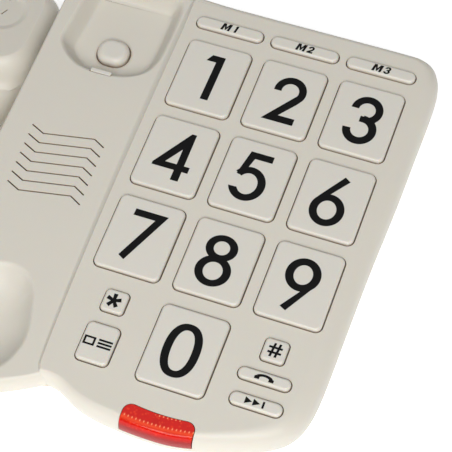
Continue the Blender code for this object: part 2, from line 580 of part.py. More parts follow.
def build_handset():
    place = WORLD @ Matrix.Translation((HANDSET_X * MM, 0, 0))
    split = HANDSET_SPLIT
    whole = handset_rings(0.0)
    core = handset_rings(HANDSET_WALL)
    face = solid("handset_face_shell", [whole], place, SHELL)
    combine(face, solid("handset_core", [core], place))
    combine(face, solid("above_seam", [box(-60, 60, -150, 150, split + GAP / 2, 80)], place), "INTERSECT")
    dishes = [[flat(disc(r, 20, 0, EAR_FACE_Y), z) for r, z in ((11.5, 37.2), (15.0, 38.5))],
              [flat(disc(r, 20, 0, MOUTH_FACE_Y), z) for r, z in ((9.0, 34.3), (12.0, 35.6))]]
    combine(face, solid("dishes", dishes, place))
    slits = []
    for middle, count, apart in ((EAR_FACE_Y, 3, 9.8), (MOUTH_FACE_Y, 3, 7.0)):
        for n in range(count):
            y = middle + apart * (n - (count - 1) / 2)
            right = [(x + 0.35, y + dy) for x, dy in FACE_SLIT]
            left = [(x - 0.35, y + dy) for x, dy in reversed(FACE_SLIT)]
            slits.append(prism(np.array(right + left), 30.0, 42.0))
    combine(face, solid("handset_slits", slits, place))
    back = solid("handset_back_shell", [whole], place, SHELL)
    combine(back, solid("handset_core_back", [core], place))
    combine(back, solid("below_seam", [box(-60, 60, -150, 150, -20, split - GAP / 2)], place), "INTERSECT")
    posts = [prism(disc(4.6, 10, 0, y), 1.0, 13.0) for y in (38.0, -40.0)]
    combine(back, solid("handset_posts", posts, place), "UNION")
    holes = [[flat(disc(3.3, 10, 0, y), -2), flat(disc(3.3, 10, 0, y), 6.0), flat(disc(1.6, 10, 0, y), 6.0),
              flat(disc(1.6, 10, 0, y), 16.0)] for y in (38.0, -40.0)]
    combine(back, solid("handset_screw_holes", holes, place))
    jack_cut = box(-6.3, 6.3, -110, -86, 5.2, 16.8)
    combine(back, solid("handset_jack_opening", [jack_cut], place))
    combine(face, solid("handset_jack_notch", [jack_cut], place))
    posts = [prism(disc(3.4, 10, 0, y), 14.2, 23.6) for y in (38.0, -40.0)]
    combine(face, solid("handset_face_posts", posts, place), "UNION")
    holes = [prism(disc(1.6, 8, 0, y), 12.0, 19.0) for y in (38.0, -40.0)]
    combine(face, solid("handset_face_post_holes", holes, place))
    for n, y in enumerate((38.0, -40.0), 1):
        screw(f"handset_screw_{n}", place @ Matrix.Translation((0, y * MM, 0)), 2.8, 1.2, 6.0, 18.0)
    ear = [flat(disc(r, 16, 0, EAR_FACE_Y), z) for r, z in ((12, 24.5), (17, 27), (17, 34.6))]
    solid("earpiece_capsule", [ear], place, BLACK)
    mouth = prism(disc(5.0, 12, 0, MOUTH_FACE_Y), 26.0, 31.6)
    solid("microphone_capsule", [mouth], place, BLACK)
    solid("handset_weight", [box(-9, 9, -24, 24, 3.0, 10.0)], place, STEEL)
    jack_place = place @ Matrix.Translation((0, -101.6 * MM, 11 * MM))
    socket("handset_jack", 12.0, 11.0, 13.0, (7.9, 6.4, 3.4), jack_place)


build_top_shell()
build_bottom_shell()
build_keypad()
build_hook()
build_lamp()
build_ringer()
build_jacks_and_switches()
build_fixings()
build_handset()
bpy.context.view_layer.update()
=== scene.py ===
"""Big-button desk telephone: fine surfaces, finishes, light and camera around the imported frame.

Lengths in the tables and shape functions are millimetres, turned into metres where meshes are made.
The keypad face is a tilted plane: plan positions on it are (u, v), counted in key spacings to the right
of and in front of the middle of key 1.
"""

import json
import math

import bmesh
import bpy
import numpy as np
from mathutils import Matrix, Vector
from mathutils.geometry import delaunay_2d_cdt

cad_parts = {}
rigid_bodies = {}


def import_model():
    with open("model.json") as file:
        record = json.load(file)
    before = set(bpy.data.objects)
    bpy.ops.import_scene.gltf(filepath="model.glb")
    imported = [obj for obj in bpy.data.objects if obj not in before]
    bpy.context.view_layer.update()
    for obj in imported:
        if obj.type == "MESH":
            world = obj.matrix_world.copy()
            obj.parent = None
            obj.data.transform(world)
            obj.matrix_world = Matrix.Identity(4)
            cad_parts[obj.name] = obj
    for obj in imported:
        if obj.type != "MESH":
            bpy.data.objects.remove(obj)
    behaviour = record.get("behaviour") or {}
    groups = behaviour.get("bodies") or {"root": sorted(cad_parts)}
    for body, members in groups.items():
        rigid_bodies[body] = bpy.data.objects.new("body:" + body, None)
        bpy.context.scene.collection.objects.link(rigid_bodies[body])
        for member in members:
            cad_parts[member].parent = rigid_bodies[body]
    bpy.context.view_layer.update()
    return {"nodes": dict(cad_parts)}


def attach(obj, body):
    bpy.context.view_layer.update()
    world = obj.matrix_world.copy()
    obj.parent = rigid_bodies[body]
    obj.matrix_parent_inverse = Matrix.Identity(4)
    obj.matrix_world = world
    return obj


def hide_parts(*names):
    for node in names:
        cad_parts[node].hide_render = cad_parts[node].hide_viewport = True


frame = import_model()

# ---- driving dimensions (mm), as the frame has them
MM = 0.001
PITCH = 37.5
ROW = 1.187
TILT = math.radians(7)
FACE_HEIGHT = 39.3
FACE_MIDDLE = (0.25, 1.73)
ORIGIN_SHIFT = (26.475, 0.587)
DECK = -2.0
WALL = 2.2
GAP = 0.3
RIM_DROP = 8.0
PARTING = -11.0
FLOOR = 2.5
KEY_SIZE = (31.0, 37.7)
KEY_RISE = 1.8
KEY_GAP = 0.5
KEY_EDGE = 1.2
FLANGE = 1.2
HANDSET_X = -122.2
HANDSET_SPLIT = 14.0
HANDSET_WALL = 2.0
HANDSET_EDGE = 7.5
FLAT_AREA = 2e-5         # square metres: faces over this shade flat
FLAT_TURN = math.cos(math.radians(35))

# Outline of the base: u, v, width of the rounding or step; then 0 for an outer rim, 1 for the step to the deck.
OUTLINE = [
    (-0.36, 4.38, 3), (-0.22, 4.415, 3.5), (0.01, 4.53, 4), (0.25, 4.60, 4.5), (0.61, 4.645, 5),
    (0.93, 4.66, 5), (1.25, 4.645, 5), (1.60, 4.57, 5.5), (1.90, 4.475, 6.5), (2.13, 4.39, 7.5),
    (2.33, 4.29, 8.5), (2.50, 4.14, 9), (2.61, 3.90, 9.5), (2.66, 3.50, 9.5), (2.675, 2.60, 9.5),
    (2.69, 1.80, 9.5), (2.725, 0.90, 9.5), (2.74, 0.10, 9.5), (2.75, -0.40, 9), (2.742, -0.75, 8),
    (2.70, -0.95, 7), (2.60, -1.11, 6), (2.44, -1.185, 5), (2.20, -1.20, 4.5), (1.20, -1.20, 4.5),
    (0.00, -1.20, 4.5), (-0.60, -1.20, 4.0), (-1.30, -1.20, 4.0), (-1.90, -1.20, 3.5),
    (-2.10, -1.17, 3), (-2.21, -1.07, 2.5), (-2.252, -0.90, 2.2), (-2.255, -0.50, 2.2),
    (-2.255, 1.20, 2.2), (-2.255, 3.20, 2.2), (-2.25, 3.78, 2.5), (-2.16, 4.22, 3),
    (-1.95, 4.52, 3.5), (-1.66, 4.70, 3.5), (-1.33, 4.76, 3.5), (-1.05, 4.71, 3.5),
    (-0.84, 4.615, 3.3), (-0.62, 4.50, 3), (-0.48, 4.415, 3),
]
OUTLINE = [(*point, 0.0) for point in OUTLINE]
STEP_EDGE = [
    (-0.40, -1.20, 3.4, 0.0), (-0.54, -1.19, 2.5, 0.2), (-0.618, -1.145, 2.2, 0.7),
    (-0.652, -1.05, 2.5, 1), (-0.668, -0.60, 3.5, 1), (-0.678, 0.30, 3.7, 1), (-0.668, 1.28, 3.4, 1),
    (-0.642, 2.37, 2.9, 1), (-0.602, 3.40, 2.3, 1), (-0.558, 4.15, 1.9, 1), (-0.535, 4.29, 2.0, 0.8),
    (-0.49, 4.365, 2.4, 0.3),
]
DECK_TUCK = [(-0.30, 4.26, 3, 0), (-0.20, 3.80, 3, 0), (-0.20, 1.50, 3, 0), (-0.20, -0.60, 3, 0),
             (-0.30, -1.10, 3, 0)]
KEYPAD_RECESS = [
    (-0.495, 4.17), (2.22, 4.17), (2.49, 3.78), (2.505, -0.40), (2.485, -0.99), (-0.495, -0.99),
]
EAR_WELL = [
    (-1.80, 0.19), (-1.63, 0.265), (-1.35, 0.29), (-1.05, 0.24), (-0.83, 0.11), (-0.73, -0.10),
    (-0.705, -0.40), (-0.705, -0.80), (-0.73, -0.99), (-0.82, -1.085), (-1.04, -1.11), (-1.63, -1.11),
    (-1.86, -1.085), (-1.955, -0.99), (-1.985, -0.80), (-2.01, -0.40), (-2.03, -0.10), (-1.95, 0.06),
]
MOUTH_BOWL = [
    (-1.34, 4.55), (-1.10, 4.51), (-0.93, 4.40), (-0.82, 4.15), (-0.81, 3.88), (-0.91, 3.51),
    (-0.99, 3.34), (-1.12, 3.20), (-1.34, 3.15), (-1.56, 3.20), (-1.69, 3.34), (-1.77, 3.51),
    (-1.87, 3.88), (-1.86, 4.15), (-1.75, 4.40), (-1.58, 4.51),
]
# Sections of the wells: how far in from the lip, and how deep under the deck.
WELL_RINGS = [(6.4, -9.0), (5.0, -8.7), (4.0, -7.6), (2.2, -4.4), (0.7, -1.6), (-0.2, -0.5), (-1.1, 0.0)]
BOWL_RINGS = [(14.5, -10.0), (9.5, -9.2), (5.0, -6.8), (1.9, -3.4), (0.0, -0.9), (-1.0, 0.0)]
RINGER_SLIT = [(-1.872, 1.27), (-1.692, 1.352), (-1.052, 1.232), (-0.90, 1.312)]
SLIT_COUNT = 7
SLIT_STEP = 0.14
SLIT_WIDTH = 0.7
DIGIT_KEYS = {
    "key_1": (0, 0), "key_2": (1, 0), "key_3": (2, 0),
    "key_4": (0, ROW), "key_5": (1, ROW), "key_6": (2, ROW),
    "key_7": (0, 2 * ROW), "key_8": (1, 2 * ROW), "key_9": (2, 2 * ROW),
    "key_0": (1, 3 * ROW + 0.024),
}
SMALL_KEYS = {
    "key_m1": (0.0, -0.79, 33.2, 6.1, 2.9), "key_m2": (1.0, -0.79, 33.2, 6.1, 2.9),
    "key_m3": (2.0, -0.79, 33.2, 6.1, 2.9), "key_star": (0.03, 3.26, 10.6, 10.7, 1.8),
    "key_hash": (2.0, 3.26, 10.6, 10.7, 1.8), "key_memory": (0.04, 3.82, 15.0, 18.6, 2.4),
    "key_flash": (2.0, 3.62, 23.6, 5.5, 2.6), "key_redial": (2.01, 3.94, 23.3, 6.0, 2.8),
}
SCREW_POSTS = [(-1.80, 0.80, 3.2), (-1.80, 2.72, 3.2), (1.50, -0.604, 2.0), (1.63, 3.22, 3.0)]
POST_SPLIT = -12.0
SCREW_SEAT = -16.0
SCREW_SHANK = 1.6        # radius of the hole for it
HANDSET_POSTS = (38.0, -40.0)
LAMP = (0.608, 4.365, 1.466, 4.80)
LAMP_DROP = -7.5
LAMP_EDGE = 3.0
LAMP_BOW = 1.4
PLUNGER = (-1.383, -0.169, 15.4, 13.4)
PLUNGER_CORNER = 6.1
PLUNGER_TOP = -7.3
PLUNGER_FLANGE = -13.3
TAB = (-1.355, 0.272, 10.4, 2.3, 9.0)
JACK_X = 22.0
HANDSET_JACK_Y = -52.0
SWITCH_X = {"ringer_volume": -36.0, "tone_pulse": -12.0}
SWITCH_Z = 21.0
KEYHOLES = [(30.0, 52.0), (30.0, -30.0)]
HANDSET_PROFILE = [
    (103.5, 13.0, 28.0, 10.0), (102.6, 17.5, 33.0, 6.0), (100.0, 21.5, 36.6, 3.2),
    (95.5, 23.8, 38.0, 1.6), (88.0, 24.5, 38.0, 0.8), (74.0, 24.5, 38.0, 0.3), (60.0, 24.2, 38.0, 0.0),
    (54.0, 23.4, 37.4, 0.0), (51.0, 22.6, 35.8, 0.0), (48.6, 21.9, 31.0, 0.0), (46.0, 21.3, 27.0, 0.0),
    (41.0, 20.5, 25.0, 0.0), (30.0, 19.4, 24.2, 0.0), (10.0, 18.6, 24.0, 0.0), (-12.0, 18.3, 24.0, 0.0),
    (-32.0, 18.5, 24.2, 0.0), (-44.0, 19.0, 25.0, 0.0), (-50.0, 19.5, 27.4, 0.0),
    (-54.0, 20.0, 31.6, 0.0), (-57.5, 20.3, 34.2, 0.0), (-62.0, 20.6, 35.0, 0.2),
    (-74.0, 20.8, 35.0, 0.6), (-88.0, 20.4, 34.6, 1.2), (-96.0, 18.6, 33.6, 2.4),
    (-100.6, 15.6, 31.0, 4.6), (-102.6, 11.4, 26.6, 8.6),
]
EAR_FACE_Y = 79.0
MOUTH_FACE_Y = -78.0
FACE_SLIT = [(-0.7, -1.9), (1.1, 1.9)]
# Right half of the flat face of each cup, front to rear, and how far the cup's sides stand out from it.
EAR_FACE = [
    (0.0, 49.6), (6.0, 50.1), (10.4, 51.4), (14.4, 54.1), (17.0, 58.0), (18.0, 64.0), (17.7, 74.0),
    (17.3, 85.0), (16.6, 91.0), (13.6, 95.0), (8.0, 96.4),
]
EAR_SIDES = [
    (7.1, 13.5), (7.1, 24.1), (7.1, 24.5), (7.1, 25.0), (7.0, 26.0), (6.8, 27.2), (6.5, 28.7),
    (6.0, 30.4), (4.3, 33.8), (2.2, 36.6), (0.6, 37.75), (0.1, 37.98), (0.0, 38.0),
]
MOUTH_FACE = [
    (0.0, -96.0), (7.0, -95.2), (11.6, -92.4), (13.6, -87.0), (14.0, -78.0), (13.8, -68.0),
    (12.4, -63.0), (8.6, -60.4), (4.0, -59.7),
]
MOUTH_SIDES = [
    (6.7, 13.5), (6.7, 24.1), (6.7, 24.5), (6.6, 25.0), (6.4, 26.2), (5.9, 27.6), (5.2, 29.2),
    (3.9, 31.4), (1.9, 34.0), (0.5, 34.78), (0.1, 34.98), (0.0, 35.0),
]
HANDLE_TOP = 25.0
HANDLE_FOOT = 24.1       # where the cups run out into the handle

WORLD = Matrix.Translation((ORIGIN_SHIFT[0] * MM, ORIGIN_SHIFT[1] * MM, 0))
FACE = WORLD @ Matrix.Translation((0, 0, FACE_HEIGHT * MM)) @ Matrix.Rotation(TILT, 4, "X")
CUTTERS = bpy.data.collections.new("cutters")
bpy.context.scene.collection.children.link(CUTTERS)


# ---- finishes
class Finish:
    """A Principled material with short ways to add procedural detail to it."""

    def __init__(self, name, roughness=0.5, metallic=0.0, **sockets):
        self.material = bpy.data.materials.new(name)
        self.material.use_nodes = True
        self.tree = self.material.node_tree
        self.shader = self.tree.nodes["Principled BSDF"]
        self.place = self.add("ShaderNodeTexCoord").outputs["Object"]
        self.set("Roughness", roughness)
        self.set("Metallic", metallic)
        for socket, value in sockets.items():
            self.set(socket.replace("_", " "), value)

    def set(self, socket, value):
        self.shader.inputs[socket].default_value = value

    def add(self, kind, **values):
        node = self.tree.nodes.new(kind)
        for key, value in values.items():
            setattr(node, key, value)
        return node

    def link(self, source, target):
        self.tree.links.new(source, target)

    def drive(self, socket, source):
        """source varies the shader's socket."""
        self.link(source, self.shader.inputs[socket])

    def noise(self, scale, detail=2.0, roughness=0.5, place=None):
        node = self.add("ShaderNodeTexNoise")
        node.inputs["Scale"].default_value = scale
        node.inputs["Detail"].default_value = detail
        node.inputs["Roughness"].default_value = roughness
        self.link(place or self.place, node.inputs["Vector"])
        return node.outputs["Fac"]

    def ramp(self, source, stops):
        """Colour ramp through (position, colour) stops; a colour may be one number."""
        node = self.add("ShaderNodeValToRGB")
        while len(node.color_ramp.elements) < len(stops):
            node.color_ramp.elements.new(0.5)
        for element, (position, colour) in zip(node.color_ramp.elements, stops):
            element.position = position
            element.color = (*colour, 1.0) if isinstance(colour, tuple) else (colour, colour, colour, 1.0)
        self.link(source, node.inputs["Fac"])
        return node.outputs["Color"]

    def scaled(self, source, low, high):
        """source, from 0 to 1, spread from low to high."""
        node = self.add("ShaderNodeMapRange")
        node.inputs["To Min"].default_value = low
        node.inputs["To Max"].default_value = high
        self.link(source, node.inputs["Value"])
        return node.outputs["Result"]

    def maths(self, operation, a, b=0.5):
        node = self.add("ShaderNodeMath", operation=operation)
        for value, socket in zip((a, b), node.inputs):
            if isinstance(value, (int, float)):
                socket.default_value = value
            else:
                self.link(value, socket)
        return node.outputs[0]

    def mixed(self, amount, a, b):
        """Colour a turning into colour b."""
        node = self.add("ShaderNodeMix", data_type="RGBA")
        for value, socket in ((amount, node.inputs[0]), (a, node.inputs[6]), (b, node.inputs[7])):
            if isinstance(value, (int, float)):
                socket.default_value = value
            elif isinstance(value, tuple):
                socket.default_value = (*value, 1.0)
            else:
                self.link(value, socket)
        return node.outputs[2]

    def bump(self, height, distance):
        node = self.add("ShaderNodeBump")
        node.inputs["Strength"].default_value = 1.0
        node.inputs["Distance"].default_value = distance
        self.link(height, node.inputs["Height"])
        self.drive("Normal", node.outputs["Normal"])

    def worn(self, colour, edge_colour, amount=0.35):
        """colour with edge_colour along the sharper edges."""
        soft = self.add("ShaderNodeBevel", samples=4)
        soft.inputs["Radius"].default_value = 0.0005
        turn = self.add("ShaderNodeVectorMath", operation="DOT_PRODUCT")
        self.link(soft.outputs["Normal"], turn.inputs[0])
        self.link(self.add("ShaderNodeNewGeometry").outputs["Normal"], turn.inputs[1])
        edge = self.ramp(turn.outputs["Value"], [(0.86, amount), (0.985, 0.0)])
        return self.mixed(edge, colour, edge_colour)

    def painted_crevice_shade(self, colour, shade_colour, reach, amount):
        """Painted shade: colour darkened in gaps and corners narrower than reach, as ambient occlusion finds
        them.
        """
        open_air = self.add("ShaderNodeAmbientOcclusion", samples=6)
        open_air.inputs["Distance"].default_value = reach
        closed = self.ramp(open_air.outputs["AO"], [(0.15, amount), (0.50, amount * 0.35), (0.80, 0.0)])
        return self.mixed(closed, colour, shade_colour)


def moulded_plastic(name, colour, roughness, grain=0.000012, tint=0.03, **more):
    """Moulded plastic: fine spark grain, faint cloudy colour, slightly paler worn edges."""
    made = Finish(name, roughness, IOR=1.49, **more)
    cloud = made.noise(24.0, 3.0)
    dark = tuple(c * (1 - tint) for c in colour)
    pale = tuple(min(1.0, c * (1 + tint)) for c in colour)
    base = made.mixed(made.scaled(cloud, 0.25, 0.75), dark, pale)
    specks = made.ramp(made.noise(900.0, 4.0, 0.7), [(0.28, 1.0), (0.34, 0.0)])
    base = made.mixed(made.maths("MULTIPLY", specks, 0.12), base, tuple(c * 0.8 for c in colour))
    base = made.worn(base, tuple(min(1.0, c * 1.12) for c in colour))
    # Painted shade: gaps, corners and the panel around the keys darkened to a warm brown by ambient occlusion.
    base = made.painted_crevice_shade(base, (colour[0] * 0.55, colour[1] * 0.38, colour[2] * 0.25), 0.004, 0.8)
    made.drive("Base Color", base)
    made.drive("Roughness", made.scaled(made.noise(160.0, 3.0), roughness - 0.05, roughness + 0.06))
    made.bump(made.noise(2600.0, 3.0, 0.6), grain)
    return made.material


def lens_plastic():
    """Clear red plastic over rows of small prisms; the prisms' glints, a highlight strip along the front bend
    and shade down the front wall are painted into its colour.
    """
    made = Finish("red_lens_plastic", 0.08, IOR=1.49, Specular_IOR_Level=0.3)
    maths = made.maths
    split = made.add("ShaderNodeSeparateXYZ")
    made.link(made.place, split.inputs[0])
    x, y, z = (split.outputs[axis] for axis in "XYZ")

    def span(value, middle, half):
        """1 at middle, falling to 0 at half away from it."""
        away = maths("ABSOLUTE", maths("SUBTRACT", value, middle), 0.0)
        return maths("MAXIMUM", maths("SUBTRACT", 1.0, maths("DIVIDE", away, half)), 0.0)

    # How far back from the bowed front edge.
    bow = maths("MULTIPLY", maths("POWER", maths("SUBTRACT", x, 0.025), 2.0), 4.6)
    depth = maths("SUBTRACT", y, maths("SUBTRACT", bow, 0.1099))
    prism_spacing = 0.0018
    dots = made.scaled(maths("SINE", maths("MULTIPLY", x, 2 * math.pi / prism_spacing), 0.0), -0.4, 1.2)
    cells = made.add("ShaderNodeTexVoronoi")
    cells.inputs["Scale"].default_value = 620.0
    made.link(made.place, cells.inputs["Vector"])
    cloud = made.mixed(made.noise(170.0, 2.0, 0.6), (0.46, 0.003, 0.001), (0.70, 0.008, 0.002))
    # Painted glints: pale spots in a cell pattern stand for light caught inside the lens.
    sparkle = made.ramp(cells.outputs["Distance"], [(0.10, 0.55), (0.42, 0.0)])
    colour = made.mixed(sparkle, cloud, (0.85, 0.05, 0.008))
    # Painted highlight: a bright band along the front bend, a little behind the front edge.
    colour = made.mixed(maths("MULTIPLY", span(depth, 0.0036, 0.0016), 0.75), colour, (0.95, 0.075, 0.012))
    # Painted glints: two rows of bright dots stand for light caught by the prisms.
    front_dots = maths("MULTIPLY", span(depth, 0.0046, 0.0007), dots)
    rear_dots = maths("MULTIPLY", span(maths("SUBTRACT", depth, 0.0001), 0.0089, 0.0005), dots)
    within = maths("MINIMUM", maths("MULTIPLY", span(x, 0.0335, 0.0065), 4.0), 1.0)
    rear_dots = maths("MULTIPLY", rear_dots, within)
    for row in (front_dots, rear_dots):
        row = maths("MINIMUM", maths("MAXIMUM", row, 0.0), 1.0)
        colour = made.mixed(row, colour, (1.0, 0.30, 0.14))
    # Painted shade: the colour darkens down the lens's front wall.
    deep = made.ramp(maths("DIVIDE", z, -0.0075), [(0.16, 0.0), (0.45, 0.85)])
    colour = made.mixed(deep, colour, (0.26, 0.002, 0.002))
    made.drive("Base Color", colour)
    made.drive("Roughness", made.scaled(made.noise(700.0), 0.06, 0.11))
    made.bump(made.noise(300.0, 2.0), 0.000012)
    return made.material


def rubber(name, colour):
    made = Finish(name, 0.82)
    made.drive("Base Color", made.mixed(made.noise(70.0, 3.0), tuple(c * 0.8 for c in colour),
                                        tuple(c * 1.25 for c in colour)))
    made.drive("Roughness", made.scaled(made.noise(500.0), 0.72, 0.9))
    made.bump(made.noise(1500.0, 4.0, 0.7), 0.00003)
    return made.material


def circuit_board():
    """Green board with paler copper tracks under the lacquer."""
    made = Finish("green_board", 0.4, IOR=1.5)
    cells = made.add("ShaderNodeTexBrick")
    cells.inputs["Scale"].default_value = 260.0
    cells.inputs["Mortar Size"].default_value = 0.03
    cells.inputs["Color1"].default_value = (0.02, 0.12, 0.05, 1)
    cells.inputs["Color2"].default_value = (0.025, 0.15, 0.06, 1)
    cells.inputs["Mortar"].default_value = (0.07, 0.26, 0.10, 1)
    made.link(made.place, cells.inputs["Vector"])
    made.drive("Base Color", cells.outputs["Color"])
    made.drive("Roughness", made.scaled(made.noise(200.0), 0.3, 0.5))
    made.bump(cells.outputs["Fac"], 0.00003)
    return made.material


def brushed_steel():
    made = Finish("steel", 0.3, 1.0)
    stretch = made.add("ShaderNodeMapping")
    stretch.inputs["Scale"].default_value = (1.0, 14.0, 1.0)
    made.link(made.place, stretch.inputs["Vector"])
    lines = made.noise(500.0, 3.0, 0.6, stretch.outputs["Vector"])
    made.drive("Base Color", made.mixed(lines, (0.44, 0.44, 0.45), (0.66, 0.66, 0.67)))
    made.drive("Roughness", made.scaled(lines, 0.22, 0.42))
    made.bump(lines, 0.00001)
    return made.material


def printed_ink():
    """Pad-printed black, a little uneven."""
    made = Finish("black_ink", 0.6, IOR=1.4, Specular_IOR_Level=0.15)
    made.drive("Base Color", made.mixed(made.noise(300.0, 3.0), (0.004, 0.004, 0.004), (0.008, 0.008, 0.008)))
    made.drive("Roughness", made.scaled(made.noise(900.0), 0.55, 0.68))
    made.bump(made.noise(2600.0, 2.0), 0.000008)
    return made.material


GLOW = {"Subsurface_Weight": 0.25, "Subsurface_Radius": (1.0, 0.5, 0.22), "Subsurface_Scale": 0.0022}
SHELL = moulded_plastic("ivory_shell_plastic", (0.640, 0.605, 0.530), 0.42, **GLOW)
KEYS = moulded_plastic("ivory_key_plastic", (0.655, 0.625, 0.560), 0.40, 0.000008, 0.02, **GLOW)
LENS = lens_plastic()
BOARD = circuit_board()
RUBBER = rubber("grey_rubber", (0.12, 0.12, 0.118))
MAT = rubber("beige_rubber", (0.40, 0.30, 0.21))
CONE = rubber("pressed_paper", (0.24, 0.15, 0.085))
BLACK = moulded_plastic("black_plastic", (0.03, 0.03, 0.031), 0.45)
STEEL = brushed_steel()
JACK = moulded_plastic("jack_plastic", (0.30, 0.30, 0.29), 0.32)
INK = printed_ink()


# ---- shape helpers
def plan(u, v):
    """Key spacings to millimetres in the plane of the face."""
    return (u - FACE_MIDDLE[0]) * PITCH, (FACE_MIDDLE[1] - v) * PITCH


def spline(points, steps, closed=True):
    """Catmull-Rom curve through points of any number of values."""
    pts = np.array(points, float)
    count = len(pts)
    spans = range(count if closed else count - 1)
    out = []
    for i in spans:
        picks = [(i + k) % count if closed else min(max(i + k, 0), count - 1) for k in (-1, 0, 1, 2)]
        p0, p1, p2, p3 = pts[picks]
        for s in range(steps):
            t = s / steps
            out.append(0.5 * (2 * p1 + (p2 - p0) * t + (2 * p0 - 5 * p1 + 4 * p2 - p3) * t ** 2
                              + (3 * p1 - p0 - 3 * p2 + p3) * t ** 3))
    if not closed:
        out.append(pts[-1])
    return np.array(out)


def face_loop(points, steps=6):
    """Smooth loop of (u, v, ...) turned to millimetres on the face, counter-clockwise from above."""
    loop = spline(points, steps)
    loop[:, 0], loop[:, 1] = plan(loop[:, 0], loop[:, 1])
    return loop


def outward(loop):
    """Unit normals of a counter-clockwise loop, pointing out of it."""
    along = np.roll(loop[:, :2], -1, axis=0) - np.roll(loop[:, :2], 1, axis=0)
    along /= np.linalg.norm(along, axis=1)[:, None]
    return np.column_stack([along[:, 1], -along[:, 0]])


def level(loop, inset, height):
    """Ring moved in by inset, at height; each is a number or one for each point."""
    xy = loop[:, :2] - outward(loop) * np.reshape(inset, (-1, 1))
    return np.column_stack([xy, np.broadcast_to(np.asarray(height, float), len(xy))])


def rounded_rectangle(width, depth, radius, steps=6, x=0.0, y=0.0):
    """Counter-clockwise rounded rectangle."""
    out = []
    for quarter, (sx, sy) in enumerate([(1, 1), (-1, 1), (-1, -1), (1, -1)]):
        cx, cy = sx * (width / 2 - radius), sy * (depth / 2 - radius)
        for s in range(steps + 1):
            a = math.pi / 2 * (quarter + s / steps)
            out.append((x + cx + radius * math.cos(a), y + cy + radius * math.sin(a)))
    return np.array(out)


def disc(radius, count=32, x=0.0, y=0.0):
    """Counter-clockwise circle."""
    a = 2 * math.pi * np.arange(count) / count
    return np.column_stack([x + radius * np.cos(a), y + radius * np.sin(a)])


def flat(xy, height):
    """Plan points at one height."""
    return np.column_stack([xy, np.full(len(xy), float(height))])


def prism(xy, low, high):
    """Two rings for a straight prism."""
    return [flat(xy, low), flat(xy, high)]


def screw_hole(head, x, y, low, seat, high):
    """Rings of a stepped hole: the screw's head up to the seat, its shank above."""
    return prism(disc(head, 20, x, y), low, seat) + prism(disc(SCREW_SHANK, 20, x, y), seat, high)


def box(x0, x1, y0, y1, z0, z1):
    """Rings of a box."""
    corners = np.array([(x1, y1), (x0, y1), (x0, y0), (x1, y0)], float)
    return prism(corners, z0, z1)


def loft_mesh(name, bodies):
    """Mesh of one or more lofts; each loft is a list of rings from its lower end to its upper."""
    mesh = bmesh.new()
    for rings in bodies:
        rows = [[mesh.verts.new(tuple(np.array(p) * MM)) for p in ring] for ring in rings]
        count = len(rows[0])
        for lower, upper in zip(rows, rows[1:]):
            for i in range(count):
                j = (i + 1) % count
                mesh.faces.new((lower[i], lower[j], upper[j], upper[i]))
        mesh.faces.new(list(reversed(rows[0])))
        mesh.faces.new(rows[-1])
    data = bpy.data.meshes.new(name)
    mesh.to_mesh(data)
    mesh.free()
    return data


def placed(name, data, place, group=None):
    """Object with the data, in the given frame, in the scene or in another group."""
    made = bpy.data.objects.new(name, data)
    made.matrix_world = place
    (group or bpy.context.scene.collection).objects.link(made)
    return made


def on_face(u, v):
    """Frame of a piece whose middle stands at (u, v) on the face."""
    x, y = plan(u, v)
    return FACE @ Matrix.Translation((x * MM, y * MM, 0))


def solid(name, bodies, place):
    """Object made of lofts, in the given frame."""
    return placed(name, loft_mesh(name, bodies), place)


def cut(target, name, bodies, place, operation="DIFFERENCE"):
    """Boolean of lofts on the target; gives the lofts' object back."""
    tool = placed("tool_" + name, loft_mesh(name, bodies), place, CUTTERS)
    step = target.modifiers.new(name, "BOOLEAN")
    step.operation = operation
    step.solver = "EXACT"
    step.object = tool
    return tool


def settle(obj, finish, angle=35):
    """Turns the object's modifiers into its mesh, smooth but for edges sharper than angle."""
    bpy.context.view_layer.update()
    if obj.modifiers:
        shown = obj.evaluated_get(bpy.context.evaluated_depsgraph_get())
        data = bpy.data.meshes.new_from_object(shown)
        obj.modifiers.clear()
        obj.data = data
        mesh = bmesh.new()
        mesh.from_mesh(data)
        bmesh.ops.dissolve_degenerate(mesh, dist=0.002 * MM, edges=mesh.edges[:])
        mesh.to_mesh(data)
        mesh.free()
    data = obj.data
    data.materials.clear()
    data.materials.append(finish)
    data.shade_smooth()
    data.set_sharp_from_angle(angle=math.radians(angle))
    # Corners of the large flat faces take the normal of that face, so that they shade flat.
    flats = {}
    for face in data.polygons:
        if face.area > FLAT_AREA:
            for vertex in face.vertices:
                flats.setdefault(vertex, []).append(face.normal.copy())
    normals = [corner.vector.copy() for corner in data.corner_normals]
    for loop in data.loops:
        for normal in flats.get(loop.vertex_index, ()):
            if normals[loop.index].dot(normal) > FLAT_TURN:
                normals[loop.index] = normal
    data.normals_split_custom_set(normals)
    return obj


def hand_in(obj, body, finish_slot, *nodes):
    """The piece rides on the body and stands for the nodes, which are hidden; finish_slot is not used."""
    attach(obj, body)
    if nodes:
        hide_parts(*nodes)
    return obj


def all_keys():
    """Every key: u, v, width, depth, corner radius."""
    keys = {name: (u, v, *KEY_SIZE, 3.0) for name, (u, v) in DIGIT_KEYS.items()}
    keys.update(SMALL_KEYS)
    return keys


